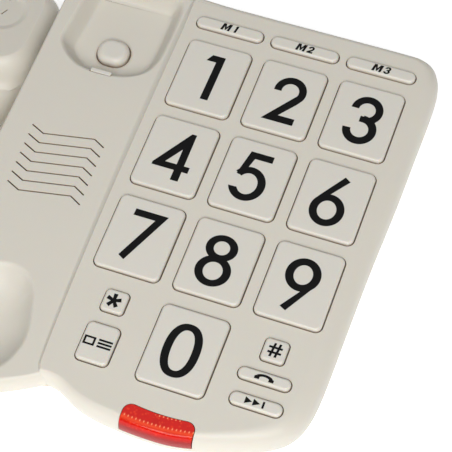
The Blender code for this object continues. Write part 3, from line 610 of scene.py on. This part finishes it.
# ---- base: top shell
def slab(points, top, bottom, inset=0.0, drop=RIM_DROP, steps=6, arcs=10):
    """Rings of a plate whose upper rim is rounded by each point's width, or steps down softly to the deck."""
    loop = face_loop(points, steps)
    width = np.maximum(loop[:, 2] - inset, 0.4)
    step = np.clip(loop[:, 3], 0.0, 1.0)
    drop = max(drop - inset, 0.4)
    rings = [level(loop, inset + 0.8 * step, bottom)]
    for k in range(arcs + 1):
        a = math.pi / 2 * k / arcs
        t = k / arcs
        rim_inset, rim_height = width * (1 - math.cos(a)), -drop * (1 - math.sin(a))
        rise = t ** 1.7 if t < 1 else 1.0
        step_inset, step_height = width * t, (DECK - 0.03) * (1 - rise)
        rings.append(level(loop, inset + (1 - step) * rim_inset + step * step_inset,
                           top + (1 - step) * rim_height + step * step_height))
    return rings


SPLIT = next(i for i, p in enumerate(OUTLINE) if p[0] == -0.60)
PANEL_POINTS = OUTLINE[:SPLIT] + STEP_EDGE
DECK_POINTS = OUTLINE[SPLIT:] + DECK_TUCK


def well_profile(rings, steps=4):
    """Smooth section of a well; its lip rolls over to meet the deck, then rises clear of it."""
    section = spline(rings, steps, closed=False)
    lip = section[-1]
    return [tuple(p) for p in section[:-1]] + [(lip[0] - 0.25, 0.02), (lip[0] - 0.6, 0.3)]


def hollow(points, rings):
    """Rings of a well sunk in the deck; its right side slopes more gently than its left."""
    loop = face_loop(points)
    out = outward(loop)
    lean = 1.0 + 0.2 * np.clip(out[:, 0], 0, 1)
    return [level(loop, inset * (lean if inset > 0 else 1.0), DECK + depth)
            for inset, depth in well_profile(rings)]


def bowl(points, depth, turns=14):
    """Rings of the round-bottomed bowl, drawn in towards its middle as they go down."""
    loop = face_loop(points)[:, :2]
    middle = loop.mean(axis=0)
    rings = []
    for k in range(turns + 1):
        s = 0.12 + (0.985 - 0.12) * k / turns
        rings.append(flat(middle + (loop - middle) * s, DECK - depth * (1 - s ** 2.6)))
    for s, height in ((1.0, -0.25), (1.02, -0.04), (1.045, 0.03), (1.06, 0.4)):
        rings.append(flat(middle + (loop - middle) * s, DECK + height))
    return rings


def cup(points, rings, grow=2.0):
    """Rings of the cup of material around a well."""
    loop = face_loop(points, 2)
    out = [level(loop, inset - grow, DECK + depth - grow) for inset, depth in rings if depth < -1.0]
    return out + [level(loop, -grow, DECK - WALL / 2)]


def ringer_slits():
    """Thin zigzag prisms through the deck."""
    out = []
    for n in range(SLIT_COUNT):
        line = [np.array(plan(u + 0.004 * n, v + SLIT_STEP * n)) for u, v in RINGER_SLIT]
        out.append(prism(ribbon(line, SLIT_WIDTH), DECK - WALL - 2, DECK + 2))
    return out


def ribbon(line, width):
    """Outline of a line of that width through the points, mitred at its bends."""
    sides = []
    for i, p in enumerate(line):
        before = line[max(i - 1, 0)] - p if i else p - line[1]
        after = line[i + 1] - p if i < len(line) - 1 else p - line[i - 1]
        d = after / np.linalg.norm(after) - before / np.linalg.norm(before)
        d /= np.linalg.norm(d)
        side = np.array([-d[1], d[0]]) * width / 2
        sides.append((p - side, p + side))
    return np.array([a for a, b in sides] + [b for a, b in reversed(sides)])


def lamp_block(grow, bottom, top=4.0):
    """Rings of the block that the lamp lens fills, or is cut from."""
    x0, y0 = plan(LAMP[0], LAMP[1])
    x1, y1 = plan(LAMP[2], LAMP[3])
    middle = (x0 + x1) / 2
    radius = 4.5
    shape = rounded_rectangle(x1 - x0 + 2 * grow, y0 - y1 + 2 * grow, radius + grow, 8, middle, (y0 + y1) / 2)
    rear = [(x, y0 + grow) for x in np.linspace(x1 - radius, x0 + radius, 13)[1:-1]]
    shape = np.array([*shape[:9], *rear, *shape[9:]])
    # The rear edge follows the bow of the front one.
    bow = LAMP_BOW * np.clip(1 - ((shape[:, 0] - middle) / (middle - x0)) ** 2, 0, 1)
    shape[:, 1] -= np.where(shape[:, 1] > (y0 + y1) / 2, bow, 0.0)
    return prism(shape, bottom, top)


def key_hole(width, depth, radius, x, y):
    """Cutter for a key's hole, with a softened upper edge."""
    def ring(grow, height):
        return flat(rounded_rectangle(width + 2 * grow, depth + 2 * grow, radius + grow, 6, x, y), height)

    lip = 0.12
    rings = [ring(KEY_GAP, -WALL - 3.1), ring(KEY_GAP, -lip)]
    for degrees in (30, 60, 84):
        a = math.radians(degrees)
        rings.append(ring(KEY_GAP + lip * (1 - math.cos(a)), -lip + lip * math.sin(a)))
    return rings + [ring(KEY_GAP + lip + 0.3, 0.08), ring(KEY_GAP + lip + 0.3, 3.0)]


def make_top_shell():
    shell = solid("top_shell", [slab(PANEL_POINTS, 0.0, PARTING)], FACE)
    cut(shell, "deck_body", [slab(DECK_POINTS, DECK, PARTING, drop=RIM_DROP + DECK)], FACE, "UNION")
    cut(shell, "shell_hollow", [slab(OUTLINE, DECK - WALL, PARTING - 4, WALL, RIM_DROP + DECK, 2, 3)], FACE)
    recess = np.array([plan(u, v) for u, v in KEYPAD_RECESS])
    cut(shell, "keypad_recess", [prism(recess, -8.0, -WALL)], FACE)
    cut(shell, "ear_cup", [cup(EAR_WELL, WELL_RINGS)], FACE, "UNION")
    cut(shell, "mouth_cup", [cup(MOUTH_BOWL, BOWL_RINGS)], FACE, "UNION")
    x, y = plan(*TAB[:2])
    pocket = rounded_rectangle(TAB[2] + 4.4, TAB[3] + 4.6, 1.5, 2, x, y)
    cut(shell, "tab_pocket", [prism(pocket, DECK - TAB[4] - 2.2, DECK - WALL / 2)], FACE, "UNION")
    posts = [prism(disc(radius, 16, *plan(u, v)), POST_SPLIT, (DECK if u < -0.6 else 0.0) - WALL / 2)
             for u, v, radius in SCREW_POSTS]
    cut(shell, "screw_posts", posts, FACE, "UNION")
    cut(shell, "wells", [hollow(EAR_WELL, WELL_RINGS), bowl(MOUTH_BOWL, 10.0)], FACE)
    holes = [key_hole(width, depth, radius, *plan(u, v))
             for u, v, width, depth, radius in all_keys().values()]
    cut(shell, "key_holes", holes, FACE)
    cut(shell, "slits", ringer_slits(), FACE)
    holes = [prism(disc(radius - 0.9, 12, *plan(u, v)), POST_SPLIT - 1, -5.0 if radius < 2.5 else -6.0)
             for u, v, radius in SCREW_POSTS]
    holes.append(plunger_hole(*plan(*PLUNGER[:2])))
    x, y = plan(*TAB[:2])
    holes.append(prism(rounded_rectangle(TAB[2] + 0.6, TAB[3] + 0.6, 0.5, 3, x, y), DECK - TAB[4] - 0.3, 2))
    cut(shell, "small_holes", holes, FACE)
    cut(shell, "lamp_opening", [lamp_block(GAP, LAMP_DROP - GAP)], FACE)
    hand_in(settle(shell, SHELL), "base", "ivory_shell_plastic", "base_top_shell")


def plunger_hole(x, y):
    """Cutter for the hole of the hook plunger, with a dished edge in the floor of the well."""
    floor = DECK + WELL_RINGS[0][1]
    rings = []
    for grow, height in ((0.45, -20), (0.45, floor - 0.9), (0.75, floor - 0.35), (1.5, floor - 0.08),
                         (2.6, floor + 0.1)):
        wide, deep = PLUNGER[2] + 2 * grow, PLUNGER[3] + 2 * grow
        shape = rounded_rectangle(wide, deep, PLUNGER_CORNER + grow, 8, x, y)
        rings.append(flat(shape, height))
    return rings


# ---- base: bottom shell
def underside_rings(grow, low, mid, top, steps=5):
    """Rings from the flat underside up to the sloping seam below the top shell."""
    loop = face_loop(OUTLINE, steps)
    out = outward(loop)
    side = 10.5 - 6.0 * np.maximum(0, out[:, 1]) ** 0.5 - 6.5 * np.maximum(0, -out[:, 0]) ** 2
    side = np.clip(side, 4.0, None)
    shift = -PARTING * math.sin(TILT)
    rings = []
    turns = 4 if not grow else 1
    for k in range(turns + 1):
        a = math.pi / 2 * k / turns
        ring = level(loop, side + grow + 2.0 * (1 - math.sin(a)), low + (mid - low) * (1 - math.cos(a)))
        ring[:, 1] = ring[:, 1] * math.cos(TILT) + shift
        rings.append(ring)
    ring = level(loop, 0.2 + grow, top)
    y, z = ring[:, 1].copy(), ring[:, 2].copy()
    ring[:, 1] = y * math.cos(TILT) - z * math.sin(TILT)
    ring[:, 2] = FACE_HEIGHT + y * math.sin(TILT) + z * math.cos(TILT)
    rings.append(ring)
    return rings


def make_bottom_shell():
    shell = solid("bottom_shell", [underside_rings(0.0, FLOOR, FLOOR + 2.5, PARTING - GAP)], WORLD)
    inside = underside_rings(WALL, FLOOR + WALL, FLOOR + 4, PARTING + 6, 1)
    cut(shell, "bottom_hollow", [inside], WORLD)
    posts = [prism(disc(max(radius, 2.6) + 1.6, 16, *plan(u, v)), -60, POST_SPLIT - GAP)
             for u, v, radius in SCREW_POSTS]
    x, y = plan(*PLUNGER[:2])
    posts.append(prism(rounded_rectangle(15, 12, 1, 1, x, y), -60, -31.3))
    x, y = plan((LAMP[0] + LAMP[2]) / 2, 4.22)
    posts.append(prism(rounded_rectangle(12, 4, 1, 1, x, y), -60, -12.3))
    post = cut(shell, "posts", posts, FACE, "UNION")
    # The posts end inside the wall.
    fill = underside_rings(WALL / 2, FLOOR + WALL / 2, FLOOR + 3, PARTING + 6, 1)
    cut(post, "bottom_fill", [fill], WORLD, "INTERSECT")
    holes = [screw_hole(3.1, *plan(u, v), -60, SCREW_SEAT, POST_SPLIT + 3) for u, v, _ in SCREW_POSTS]
    cut(shell, "screw_holes", holes, FACE)
    cuts = [box(JACK_X - 7.3, JACK_X + 7.3, 98, 120, 10.7, 25.3),
            box(-100, -84, HANDSET_JACK_Y - 6.3, HANDSET_JACK_Y + 6.3, 7.2, 18.8)]
    for x in SWITCH_X.values():
        cuts.append(box(x - 5.6, x + 5.6, 100, 120, SWITCH_Z - 1.9, SWITCH_Z + 1.9))
    for x, y in KEYHOLES:
        turn = np.linspace(math.radians(150), math.radians(390), 17)
        head = [(x + 4.25 * math.cos(t), y - 8 + 4.25 * math.sin(t)) for t in turn]
        slot = [(x + 2.2 * math.cos(t), y + 2 + 2.2 * math.sin(t)) for t in np.linspace(0, math.pi, 9)]
        cuts.append(prism(np.array(head + slot), 0.5, 8.0))
    cut(shell, "wall_openings", cuts, WORLD)
    hand_in(settle(shell, SHELL), "base", "ivory_shell_plastic", "base_bottom_shell")


# ---- keys, plunger, tab and lamp
def soft_block(width, depth, radius, top, edge, arcs=7, steps=6):
    """Rings of the rounded upper edge of a block."""
    rings = []
    for k in range(arcs + 1):
        a = math.pi / 2 * k / arcs
        inset = edge * (1 - math.cos(a))
        height = top - edge * (1 - math.sin(a))
        corner = min(max(radius - inset * 0.8, 0.5), min(width, depth) / 2 - inset - 0.05)
        rings.append(flat(rounded_rectangle(width - 2 * inset, depth - 2 * inset, corner, steps), height))
    return rings


def make_key(name, u, v, width, depth, radius):
    def ring(inset, height):
        return flat(rounded_rectangle(width - 2 * inset, depth - 2 * inset, max(radius - inset, 0.6)), height)

    edge = min(KEY_EDGE, depth * 0.24)
    rings = [ring(-FLANGE, -3.7), ring(-FLANGE, -WALL - GAP), ring(0, -WALL - GAP)]
    rings += soft_block(width, depth, radius, KEY_RISE, edge)
    key = solid(name + "_cap", [rings], on_face(u, v))
    hand_in(settle(key, KEYS, 50), name, "ivory_key_plastic", name)


def make_hook():
    wide, deep = PLUNGER[2:]
    flange = rounded_rectangle(wide + 2.8, deep + 2.8, PLUNGER_CORNER + 1.4, 14)
    rings = prism(flange, PLUNGER_FLANGE - 2, PLUNGER_FLANGE)
    rings.append(flat(rounded_rectangle(wide, deep, PLUNGER_CORNER, 14), PLUNGER_FLANGE))
    rings += soft_block(wide, deep, PLUNGER_CORNER, PLUNGER_TOP, 2.8, 10, 14)
    plunger = solid("hook_plunger_cap", [rings], on_face(*PLUNGER[:2]))
    hand_in(settle(plunger, KEYS, 50), "hook_plunger", "ivory_key_plastic", "hook_plunger")
    upper = soft_block(TAB[2], TAB[3], 0.4, DECK - 0.1, 0.5, 4)
    rings = [flat(upper[0][:, :2], DECK - TAB[4])] + upper
    tab = solid("hanger_tab", [rings], on_face(*TAB[:2]))
    hand_in(settle(tab, KEYS), "handset_hanger_tab", "ivory_key_plastic", "handset_hanger_tab")


def make_lamp():
    points = [(u, v, min(width, LAMP_EDGE), step) for u, v, width, step in PANEL_POINTS]
    lens = solid("lamp_lens_red", [slab(points, 0.0, PARTING, arcs=14)], FACE)
    cut(lens, "lens_block", [lamp_block(0.0, LAMP_DROP)], FACE, "INTERSECT")
    cut(lens, "lens_hollow", [slab(OUTLINE, -2.0, -14.0, 2.0, RIM_DROP, 2, 4)], FACE)
    hand_in(settle(lens, LENS), "base", "red_lens_plastic", "lamp_lens")


# ---- handset
def handset_rings(inset):
    """Sections of the handset's body, mouth end first; with inset, of the space inside it."""
    rows = HANDSET_PROFILE if inset else spline(HANDSET_PROFILE, 4, closed=False)
    arc = 3 if inset else 10
    last = len(rows) - 1
    rings = []
    for i, (y, half, top, low) in reversed(list(enumerate(rows))):
        if inset and (i in (0, last) or (3 < i < last - 3 and i % 2)):
            continue
        y -= inset * (1 if i < 3 else -1 if i > last - 3 else 0) * 0.9
        half, top, low = half - inset, min(top, HANDLE_TOP) - inset, low + inset
        upper = min(HANDSET_EDGE, half * 0.4, (top - low) * 0.45)
        lower = min(9.0, half * 0.5, (top - low) * 0.35)
        ring = []
        corners = ((1, 1, upper), (-1, 1, upper), (-1, -1, lower), (1, -1, lower))
        for start, (sx, sz, radius) in enumerate(corners):
            cx = sx * (half - radius)
            cz = top - radius if sz > 0 else low + radius
            for s in range(arc + 1):
                a = math.pi / 2 * (start + s / arc)
                ring.append((cx + radius * math.cos(a), y, cz + radius * math.sin(a)))
        rings.append(np.array(ring))
    return [ring[::-1] for ring in rings]


def cup_rings(face, sides, inner, flare=0.0):
    """Rings of the ear or mouth cup, shrunk by inner; flare runs its inner end out to the handle."""
    loop = spline(face + [(-x, y) for x, y in reversed(face) if x], 5)
    area = np.sum(loop[:, 0] * np.roll(loop[:, 1], -1) - np.roll(loop[:, 0], -1) * loop[:, 1])
    loop = loop if area > 0 else loop[::-1]
    towards = np.clip(outward(loop)[:, 1] * (1 if face[0][1] < 0 else -1), 0, 1) ** 4
    rings = []
    for grow, z in sides:
        spread = flare * towards * min(1.0, max(0.0, 1 - (z - HANDLE_FOOT) / 9.0)) ** 4
        rings.append(level(loop, inner - grow - spread, z - inner))
    return rings


def face_dish(radius, middle_y, top, depth):
    """Cutter for a shallow round dish in the handset's face."""
    rings = []
    for k in range(11):
        t = k / 10
        height = top - depth * (1 - t * t * (3 - 2 * t))
        rings.append(flat(disc(radius * (0.70 + 0.30 * t), 64, 0, middle_y), height))
    return rings + [flat(disc(radius * 1.01, 64, 0, middle_y), top + 0.3)]


def make_handset():
    place = WORLD @ Matrix.Translation((HANDSET_X * MM, 0, 0))
    split = HANDSET_SPLIT
    whole, core = handset_rings(0.0), handset_rings(HANDSET_WALL)
    cups = (("ear", EAR_FACE, EAR_SIDES), ("mouth", MOUTH_FACE, MOUTH_SIDES))
    face = solid("handset_face", [whole], place)
    for name, outline, sides in cups:
        cut(face, name + "_cup", [cup_rings(outline, sides, 0.0, 6.0)], place, "UNION")
    cut(face, "handset_core", [core], place)
    for name, outline, sides in cups:
        cut(face, name + "_core", [cup_rings(outline, sides, HANDSET_WALL)], place)
    cut(face, "above_seam", [box(-60, 60, -150, 150, split + GAP / 2, 80)], place, "INTERSECT")
    dishes = [face_dish(12.5, EAR_FACE_Y, 38.0, 0.8), face_dish(10.5, MOUTH_FACE_Y, 35.0, 0.7)]
    cut(face, "dishes", dishes, place)
    slits = []
    for middle, apart in ((EAR_FACE_Y, 9.8), (MOUTH_FACE_Y, 7.0)):
        for n in (-1, 0, 1):
            line = [np.array((x, middle + apart * n + dy)) for x, dy in FACE_SLIT]
            slits.append(prism(ribbon(line, 0.6), 30.0, 42.0))
    cut(face, "handset_slits", slits, place)
    jack_cut = box(-6.3, 6.3, -110, -86, 5.2, 16.8)  # goes through both shells
    cut(face, "handset_jack_notch", [jack_cut], place)
    posts = [prism(disc(3.4, 16, 0, y), 14.2, 23.6) for y in HANDSET_POSTS]
    cut(face, "handset_face_posts", posts, place, "UNION")
    holes = [prism(disc(SCREW_SHANK, 12, 0, y), 12.0, 19.0) for y in HANDSET_POSTS]
    cut(face, "handset_face_post_holes", holes, place)
    hand_in(settle(face, SHELL), "handset", "ivory_shell_plastic", "handset_face_shell")

    back = solid("handset_back", [whole], place)
    cut(back, "handset_core_back", [core], place)
    cut(back, "below_seam", [box(-60, 60, -150, 150, -20, split - GAP / 2)], place, "INTERSECT")
    posts = [prism(disc(4.6, 16, 0, y), 1.0, 13.0) for y in HANDSET_POSTS]
    cut(back, "handset_posts", posts, place, "UNION")
    holes = [screw_hole(3.3, 0, y, -2, 6.0, 16.0) for y in HANDSET_POSTS]
    cut(back, "handset_screw_holes", holes, place)
    cut(back, "handset_jack_opening", [jack_cut], place)
    hand_in(settle(back, SHELL), "handset", "ivory_shell_plastic", "handset_back_shell")


# ---- printed figures
def arc(x, y, rx, ry, start, end, count=48, power=2.0):
    """Points (u, v) on an oval, from start to end in degrees counter-clockwise from the right, v forward."""
    out = []
    for a in np.radians(np.linspace(start, end, count)):
        c, s = math.cos(a), math.sin(a)
        out.append((x + rx * math.copysign(abs(c) ** (2 / power), c),
                    y - ry * math.copysign(abs(s) ** (2 / power), s)))
    return out


def band(x, y, outer, inner, start, end, inner_start=None, inner_end=None, power=2.0):
    """Outline of a bent stroke between two ovals."""
    back = arc(x, y, *inner, end if inner_end is None else inner_end,
               start if inner_start is None else inner_start, power=power)
    return arc(x, y, *outer, start, end, power=power) + back


def bar(u0, v0, u1, v1, slant=0.0):
    """Upright rectangle, its rear end pushed right by slant."""
    return [(u0 + slant, v0), (u1 + slant, v0), (u1, v1), (u0, v1)]


def figure_one():
    return [[(-0.115, -0.24), (-0.06, -0.335), (0.11, -0.335), (0.10, 0.325), (0.0, 0.325), (0.012, -0.24)]]


def figure_two():
    head = arc(0.035, -0.12, 0.205, 0.205, 187, -25)
    foot = [(0.17, 0.045), (0.0, 0.255), (0.215, 0.255), (0.215, 0.35), (-0.19, 0.35), (0.10, -0.03)]
    return [head + foot + arc(0.035, -0.12, 0.11, 0.11, -25, 193)]


def figure_three():
    return [band(0.02, -0.15, (0.20, 0.20), (0.105, 0.105), 180, -70),
            band(0.01, 0.14, (0.21, 0.21), (0.11, 0.11), 90, -178), bar(-0.032, -0.055, 0.03, 0.03)]


def figure_four():
    outer = [(0.16, -0.342), (0.16, 0.118), (0.235, 0.118), (0.235, 0.203), (0.16, 0.203), (0.16, 0.343),
             (0.06, 0.343), (0.06, 0.203), (-0.23, 0.203), (-0.23, 0.165), (0.10, -0.342)]
    # The corner of the outline is joined to the window inside it and back.
    window = [(0.065, -0.102), (0.065, 0.118), (-0.085, 0.118), (0.065, -0.102)]
    return [outer + [outer[0]] + window]


def figure_five():
    stem = [(-0.13, -0.342), (0.165, -0.342), (0.165, -0.252), (-0.055, -0.252), (-0.095, -0.117),
            (-0.10, -0.02), (-0.175, 0.008), (-0.205, -0.002)]
    return [stem, band(-0.035, 0.1055, (0.225, 0.2375), (0.125, 0.1475), 145, -160, 145, -148)]


def figure_six():
    stroke = [(0.065, -0.349), (0.14, -0.302), (-0.05, -0.052), (-0.12, 0.013), (-0.20, 0.10), (-0.222, 0.10),
              (-0.17, -0.007)]
    return [stroke, band(-0.015, 0.148, (0.2125, 0.22), (0.115, 0.13), 0, 360)]


def figure_seven():
    return [[(-0.175, -0.344), (0.24, -0.344), (-0.075, 0.346), (-0.155, 0.301), (0.10, -0.254),
             (-0.18, -0.254)]]


def figure_eight():
    return [band(-0.02, -0.159, (0.195, 0.175), (0.0975, 0.0925), 0, 360),
            band(-0.022, 0.156, (0.2175, 0.205), (0.1175, 0.12), 0, 360)]


def figure_nine():
    stroke = [(0.20, -0.06), (-0.055, 0.371), (-0.135, 0.331), (0.03, 0.091), (0.10, 0.03), (0.19, -0.09)]
    return [stroke, band(0.0, -0.129, (0.2125, 0.22), (0.1125, 0.13), 0, 360)]


def figure_nought():
    return [band(-0.01, 0.02, (0.22, 0.345), (0.1225, 0.2625), 0, 360, power=2.3)]


def star():
    out = []
    for n in range(5):
        a = math.radians(90 + 72 * n)
        along, side = np.array((math.cos(a), -math.sin(a))), np.array((math.sin(a), math.cos(a)))
        out.append([tuple(along * r + side * w + (-0.01, 0)) for r, w in
                    ((0.0, 0.018), (0.090, 0.025), (0.090, -0.025), (0.0, -0.018))])
    return out


def hash_sign():
    uprights = [bar(u - 0.014, -0.088, u + 0.014, 0.088, 0.022) for u in (-0.037, 0.025)]
    return uprights + [bar(-0.078, v - 0.013, 0.084, v + 0.013) for v in (-0.032, 0.032)]


SMALL_ONE = [[(-0.09, -0.20), (-0.03, -0.34), (0.11, -0.34), (0.11, 0.33), (-0.05, 0.33), (-0.05, -0.18)]]
SMALL_TWO = [arc(0.0, -0.13, 0.22, 0.21, 187, -25)
             + [(0.17, 0.06), (0.02, 0.20), (0.22, 0.20), (0.22, 0.34), (-0.22, 0.34), (-0.22, 0.20),
                (0.03, -0.02)]
             + arc(0.0, -0.13, 0.07, 0.08, -25, 193)]
SMALL_THREE = [band(0.0, -0.15, (0.22, 0.20), (0.07, 0.07), 180, -70),
               band(0.0, 0.14, (0.23, 0.21), (0.08, 0.08), 90, -178),
               bar(-0.06, -0.07, 0.05, 0.05)]


def memory_label(digit):
    """A slanted M and a small figure."""
    letter = [(-0.115, 0.052), (-0.092, -0.052), (-0.056, -0.052), (-0.046, 0.004), (-0.014, -0.052),
              (0.024, -0.052), (0.002, 0.052), (-0.028, 0.052), (-0.014, -0.014), (-0.046, 0.044),
              (-0.058, 0.044), (-0.070, -0.014), (-0.084, 0.052)]
    small = [[(0.080 + 0.170 * u - 0.03 * v, 0.152 * v) for u, v in shape] for shape in digit]
    return [letter] + small


def card_sign():
    """An index card beside three lines, for the memory key."""
    frame_line = [(-0.17, -0.055), (-0.03, -0.055), (-0.03, 0.055), (-0.17, 0.055), (-0.17, -0.055),
                  (-0.145, -0.032), (-0.145, 0.032), (-0.055, 0.032), (-0.055, -0.032), (-0.145, -0.032)]
    return [frame_line] + [bar(0.005, v - 0.0125, 0.175, v + 0.0125) for v in (-0.042, 0.0, 0.042)]


def receiver_sign():
    """A telephone receiver, for the flash key."""
    grip = arc(0.0, 0.012, 0.105, 0.05, 180, 0) + arc(0.0, 0.026, 0.07, 0.034, 0, 180)
    return [grip, bar(-0.115, 0.0, -0.055, 0.036), bar(0.055, 0.0, 0.115, 0.036)]


def repeat_sign():
    """Two arrowheads and a stop, for the redial key."""
    out = [[(u, -0.042), (u + 0.085, 0.0), (u, 0.042)] for u in (-0.13, -0.035)]
    return out + [bar(0.075, -0.042, 0.10, 0.042)]


FIGURES = {
    "key_1": figure_one, "key_2": figure_two, "key_3": figure_three, "key_4": figure_four,
    "key_5": figure_five, "key_6": figure_six, "key_7": figure_seven, "key_8": figure_eight,
    "key_9": figure_nine, "key_0": figure_nought, "key_star": star, "key_hash": hash_sign,
    "key_memory": card_sign, "key_flash": receiver_sign, "key_redial": repeat_sign,
    "key_m1": lambda: memory_label(SMALL_ONE), "key_m2": lambda: memory_label(SMALL_TWO),
    "key_m3": lambda: memory_label(SMALL_THREE),
}


def inside(point, outline):
    """Even-odd test."""
    x, y = point
    hit = False
    for (x0, y0), (x1, y1) in zip(outline, outline[1:] + outline[:1]):
        if (y0 > y) != (y1 > y) and x < x0 + (y - y0) * (x1 - x0) / (y1 - y0):
            hit = not hit
    return hit


def print_figure(name):
    """A thin layer of ink on a key's top, in the shape of its figure."""
    outlines = [[(u * PITCH, -v * PITCH) for u, v in shape] for shape in FIGURES[name]()]
    points, edges = [], []
    for outline in outlines:
        first, count = len(points), len(outline)
        points += [Vector(p) for p in outline]
        edges += [(first + i, first + (i + 1) % count) for i in range(count)]
    verts, _, faces, _, _, _ = delaunay_2d_cdt(points, edges, [], 0, 1e-5)
    kept = []
    for face in faces:
        middle = sum((verts[i] for i in face), Vector((0, 0))) / len(face)
        if any(inside(middle, outline) for outline in outlines):
            kept.append(face)
    mesh = bmesh.new()
    layer = [mesh.verts.new((p.x * MM, p.y * MM, (KEY_RISE + 0.035) * MM)) for p in verts]
    for face in kept:
        mesh.faces.new([layer[i] for i in face])
    lower = bmesh.ops.extrude_face_region(mesh, geom=mesh.faces[:])
    for item in lower["geom"]:
        if isinstance(item, bmesh.types.BMVert):
            item.co.z = (KEY_RISE - 0.03) * MM
    loose = [v for v in mesh.verts if not v.link_faces]
    bmesh.ops.delete(mesh, geom=loose, context="VERTS")
    bmesh.ops.recalc_face_normals(mesh, faces=mesh.faces[:])
    data = bpy.data.meshes.new(name + "_print")
    mesh.to_mesh(data)
    mesh.free()
    data.materials.append(INK)
    made = placed(name + "_print", data, on_face(*all_keys()[name][:2]))
    hand_in(made, name, "black_plastic")


# ---- nodes that keep their frame shape
NODE_FINISHES = {
    "rubber_keypad_mat": MAT, "main_circuit_board": BOARD, "lamp_board": BOARD, "lamp_led": LENS,
    "hook_switch": BLACK, "ringer_speaker": CONE, "line_jack": JACK, "base_handset_jack": JACK,
    "handset_jack": JACK, "ringer_volume_knob": BLACK, "tone_pulse_knob": BLACK,
    "ringer_volume_switch": STEEL, "tone_pulse_switch": STEEL, "earpiece_capsule": BLACK,
    "microphone_capsule": BLACK, "handset_weight": STEEL,
}


def finish_nodes():
    for name, node in frame["nodes"].items():
        finish = RUBBER if name.startswith("foot_") else STEEL if "screw" in name else NODE_FINISHES.get(name)
        if finish:
            node.data.materials.clear()
            node.data.materials.append(finish)


# ---- floor, light and camera
def make_studio():
    bpy.ops.mesh.primitive_grid_add(x_subdivisions=2, y_subdivisions=2, size=4.0, location=(0, 0, 0))
    floor = bpy.context.object
    floor.name = "studio_floor"
    pale = Finish("pale_floor", 0.9)
    pale.drive("Base Color", pale.mixed(pale.noise(3.0), (0.90, 0.90, 0.895), (0.93, 0.93, 0.93)))
    pale.set("Emission Color", (1, 1, 1, 1))
    pale.set("Emission Strength", 0.5)
    floor.data.materials.append(pale.material)
    world = bpy.data.worlds.new("soft_room")
    bpy.context.scene.world = world
    world.use_nodes = True
    sky = world.node_tree.nodes["Background"]
    sky.inputs["Color"].default_value = (0.97, 0.985, 1.0, 1)
    sky.inputs["Strength"].default_value = 0.30
    for name, place, power, wide, tall in (("front_softbox", (0.30, -1.08, 1.12), 21.5, 1.3, 0.85),
                                           ("high_softbox", (-0.15, 0.10, 1.6), 2.5, 1.1, 1.1)):
        light = bpy.data.lights.new(name, "AREA")
        light.energy = power
        light.shape = "RECTANGLE"
        light.size = wide
        light.size_y = tall
        lamp = bpy.data.objects.new(name, light)
        lamp.location = place
        lamp.rotation_euler = (Vector((0.03, 0, 0.03)) - Vector(place)).to_track_quat("-Z", "Y").to_euler()
        bpy.context.scene.collection.objects.link(lamp)


def make_camera():
    """The view from the front right, high over the keypad; the axes are given in the frame of the face."""
    right = (0.93962, 0.33929, -0.04476)
    up = (-0.27747, 0.83182, 0.48071)
    back = (0.20033, -0.43926, 0.87574)
    eye = Vector((176.23, -338.10, 661.85)) * MM
    turn = Matrix((right, up, back)).transposed().to_4x4()
    data = bpy.data.cameras.new("camera")
    data.lens = 134.94
    data.sensor_width = 36.0
    bpy.context.scene.camera = placed("camera", data, FACE @ Matrix.Translation(eye) @ turn)


bpy.context.scene.view_settings.view_transform = "Standard"
make_camera()
make_studio()
make_top_shell()
make_bottom_shell()
for key_name, key_values in all_keys().items():
    make_key(key_name, *key_values)
    print_figure(key_name)
make_hook()
make_lamp()
make_handset()
finish_nodes()
for tool in list(CUTTERS.objects):
    bpy.data.objects.remove(tool, do_unlink=True)
bpy.data.collections.remove(CUTTERS)

bpy.context.view_layer.update()
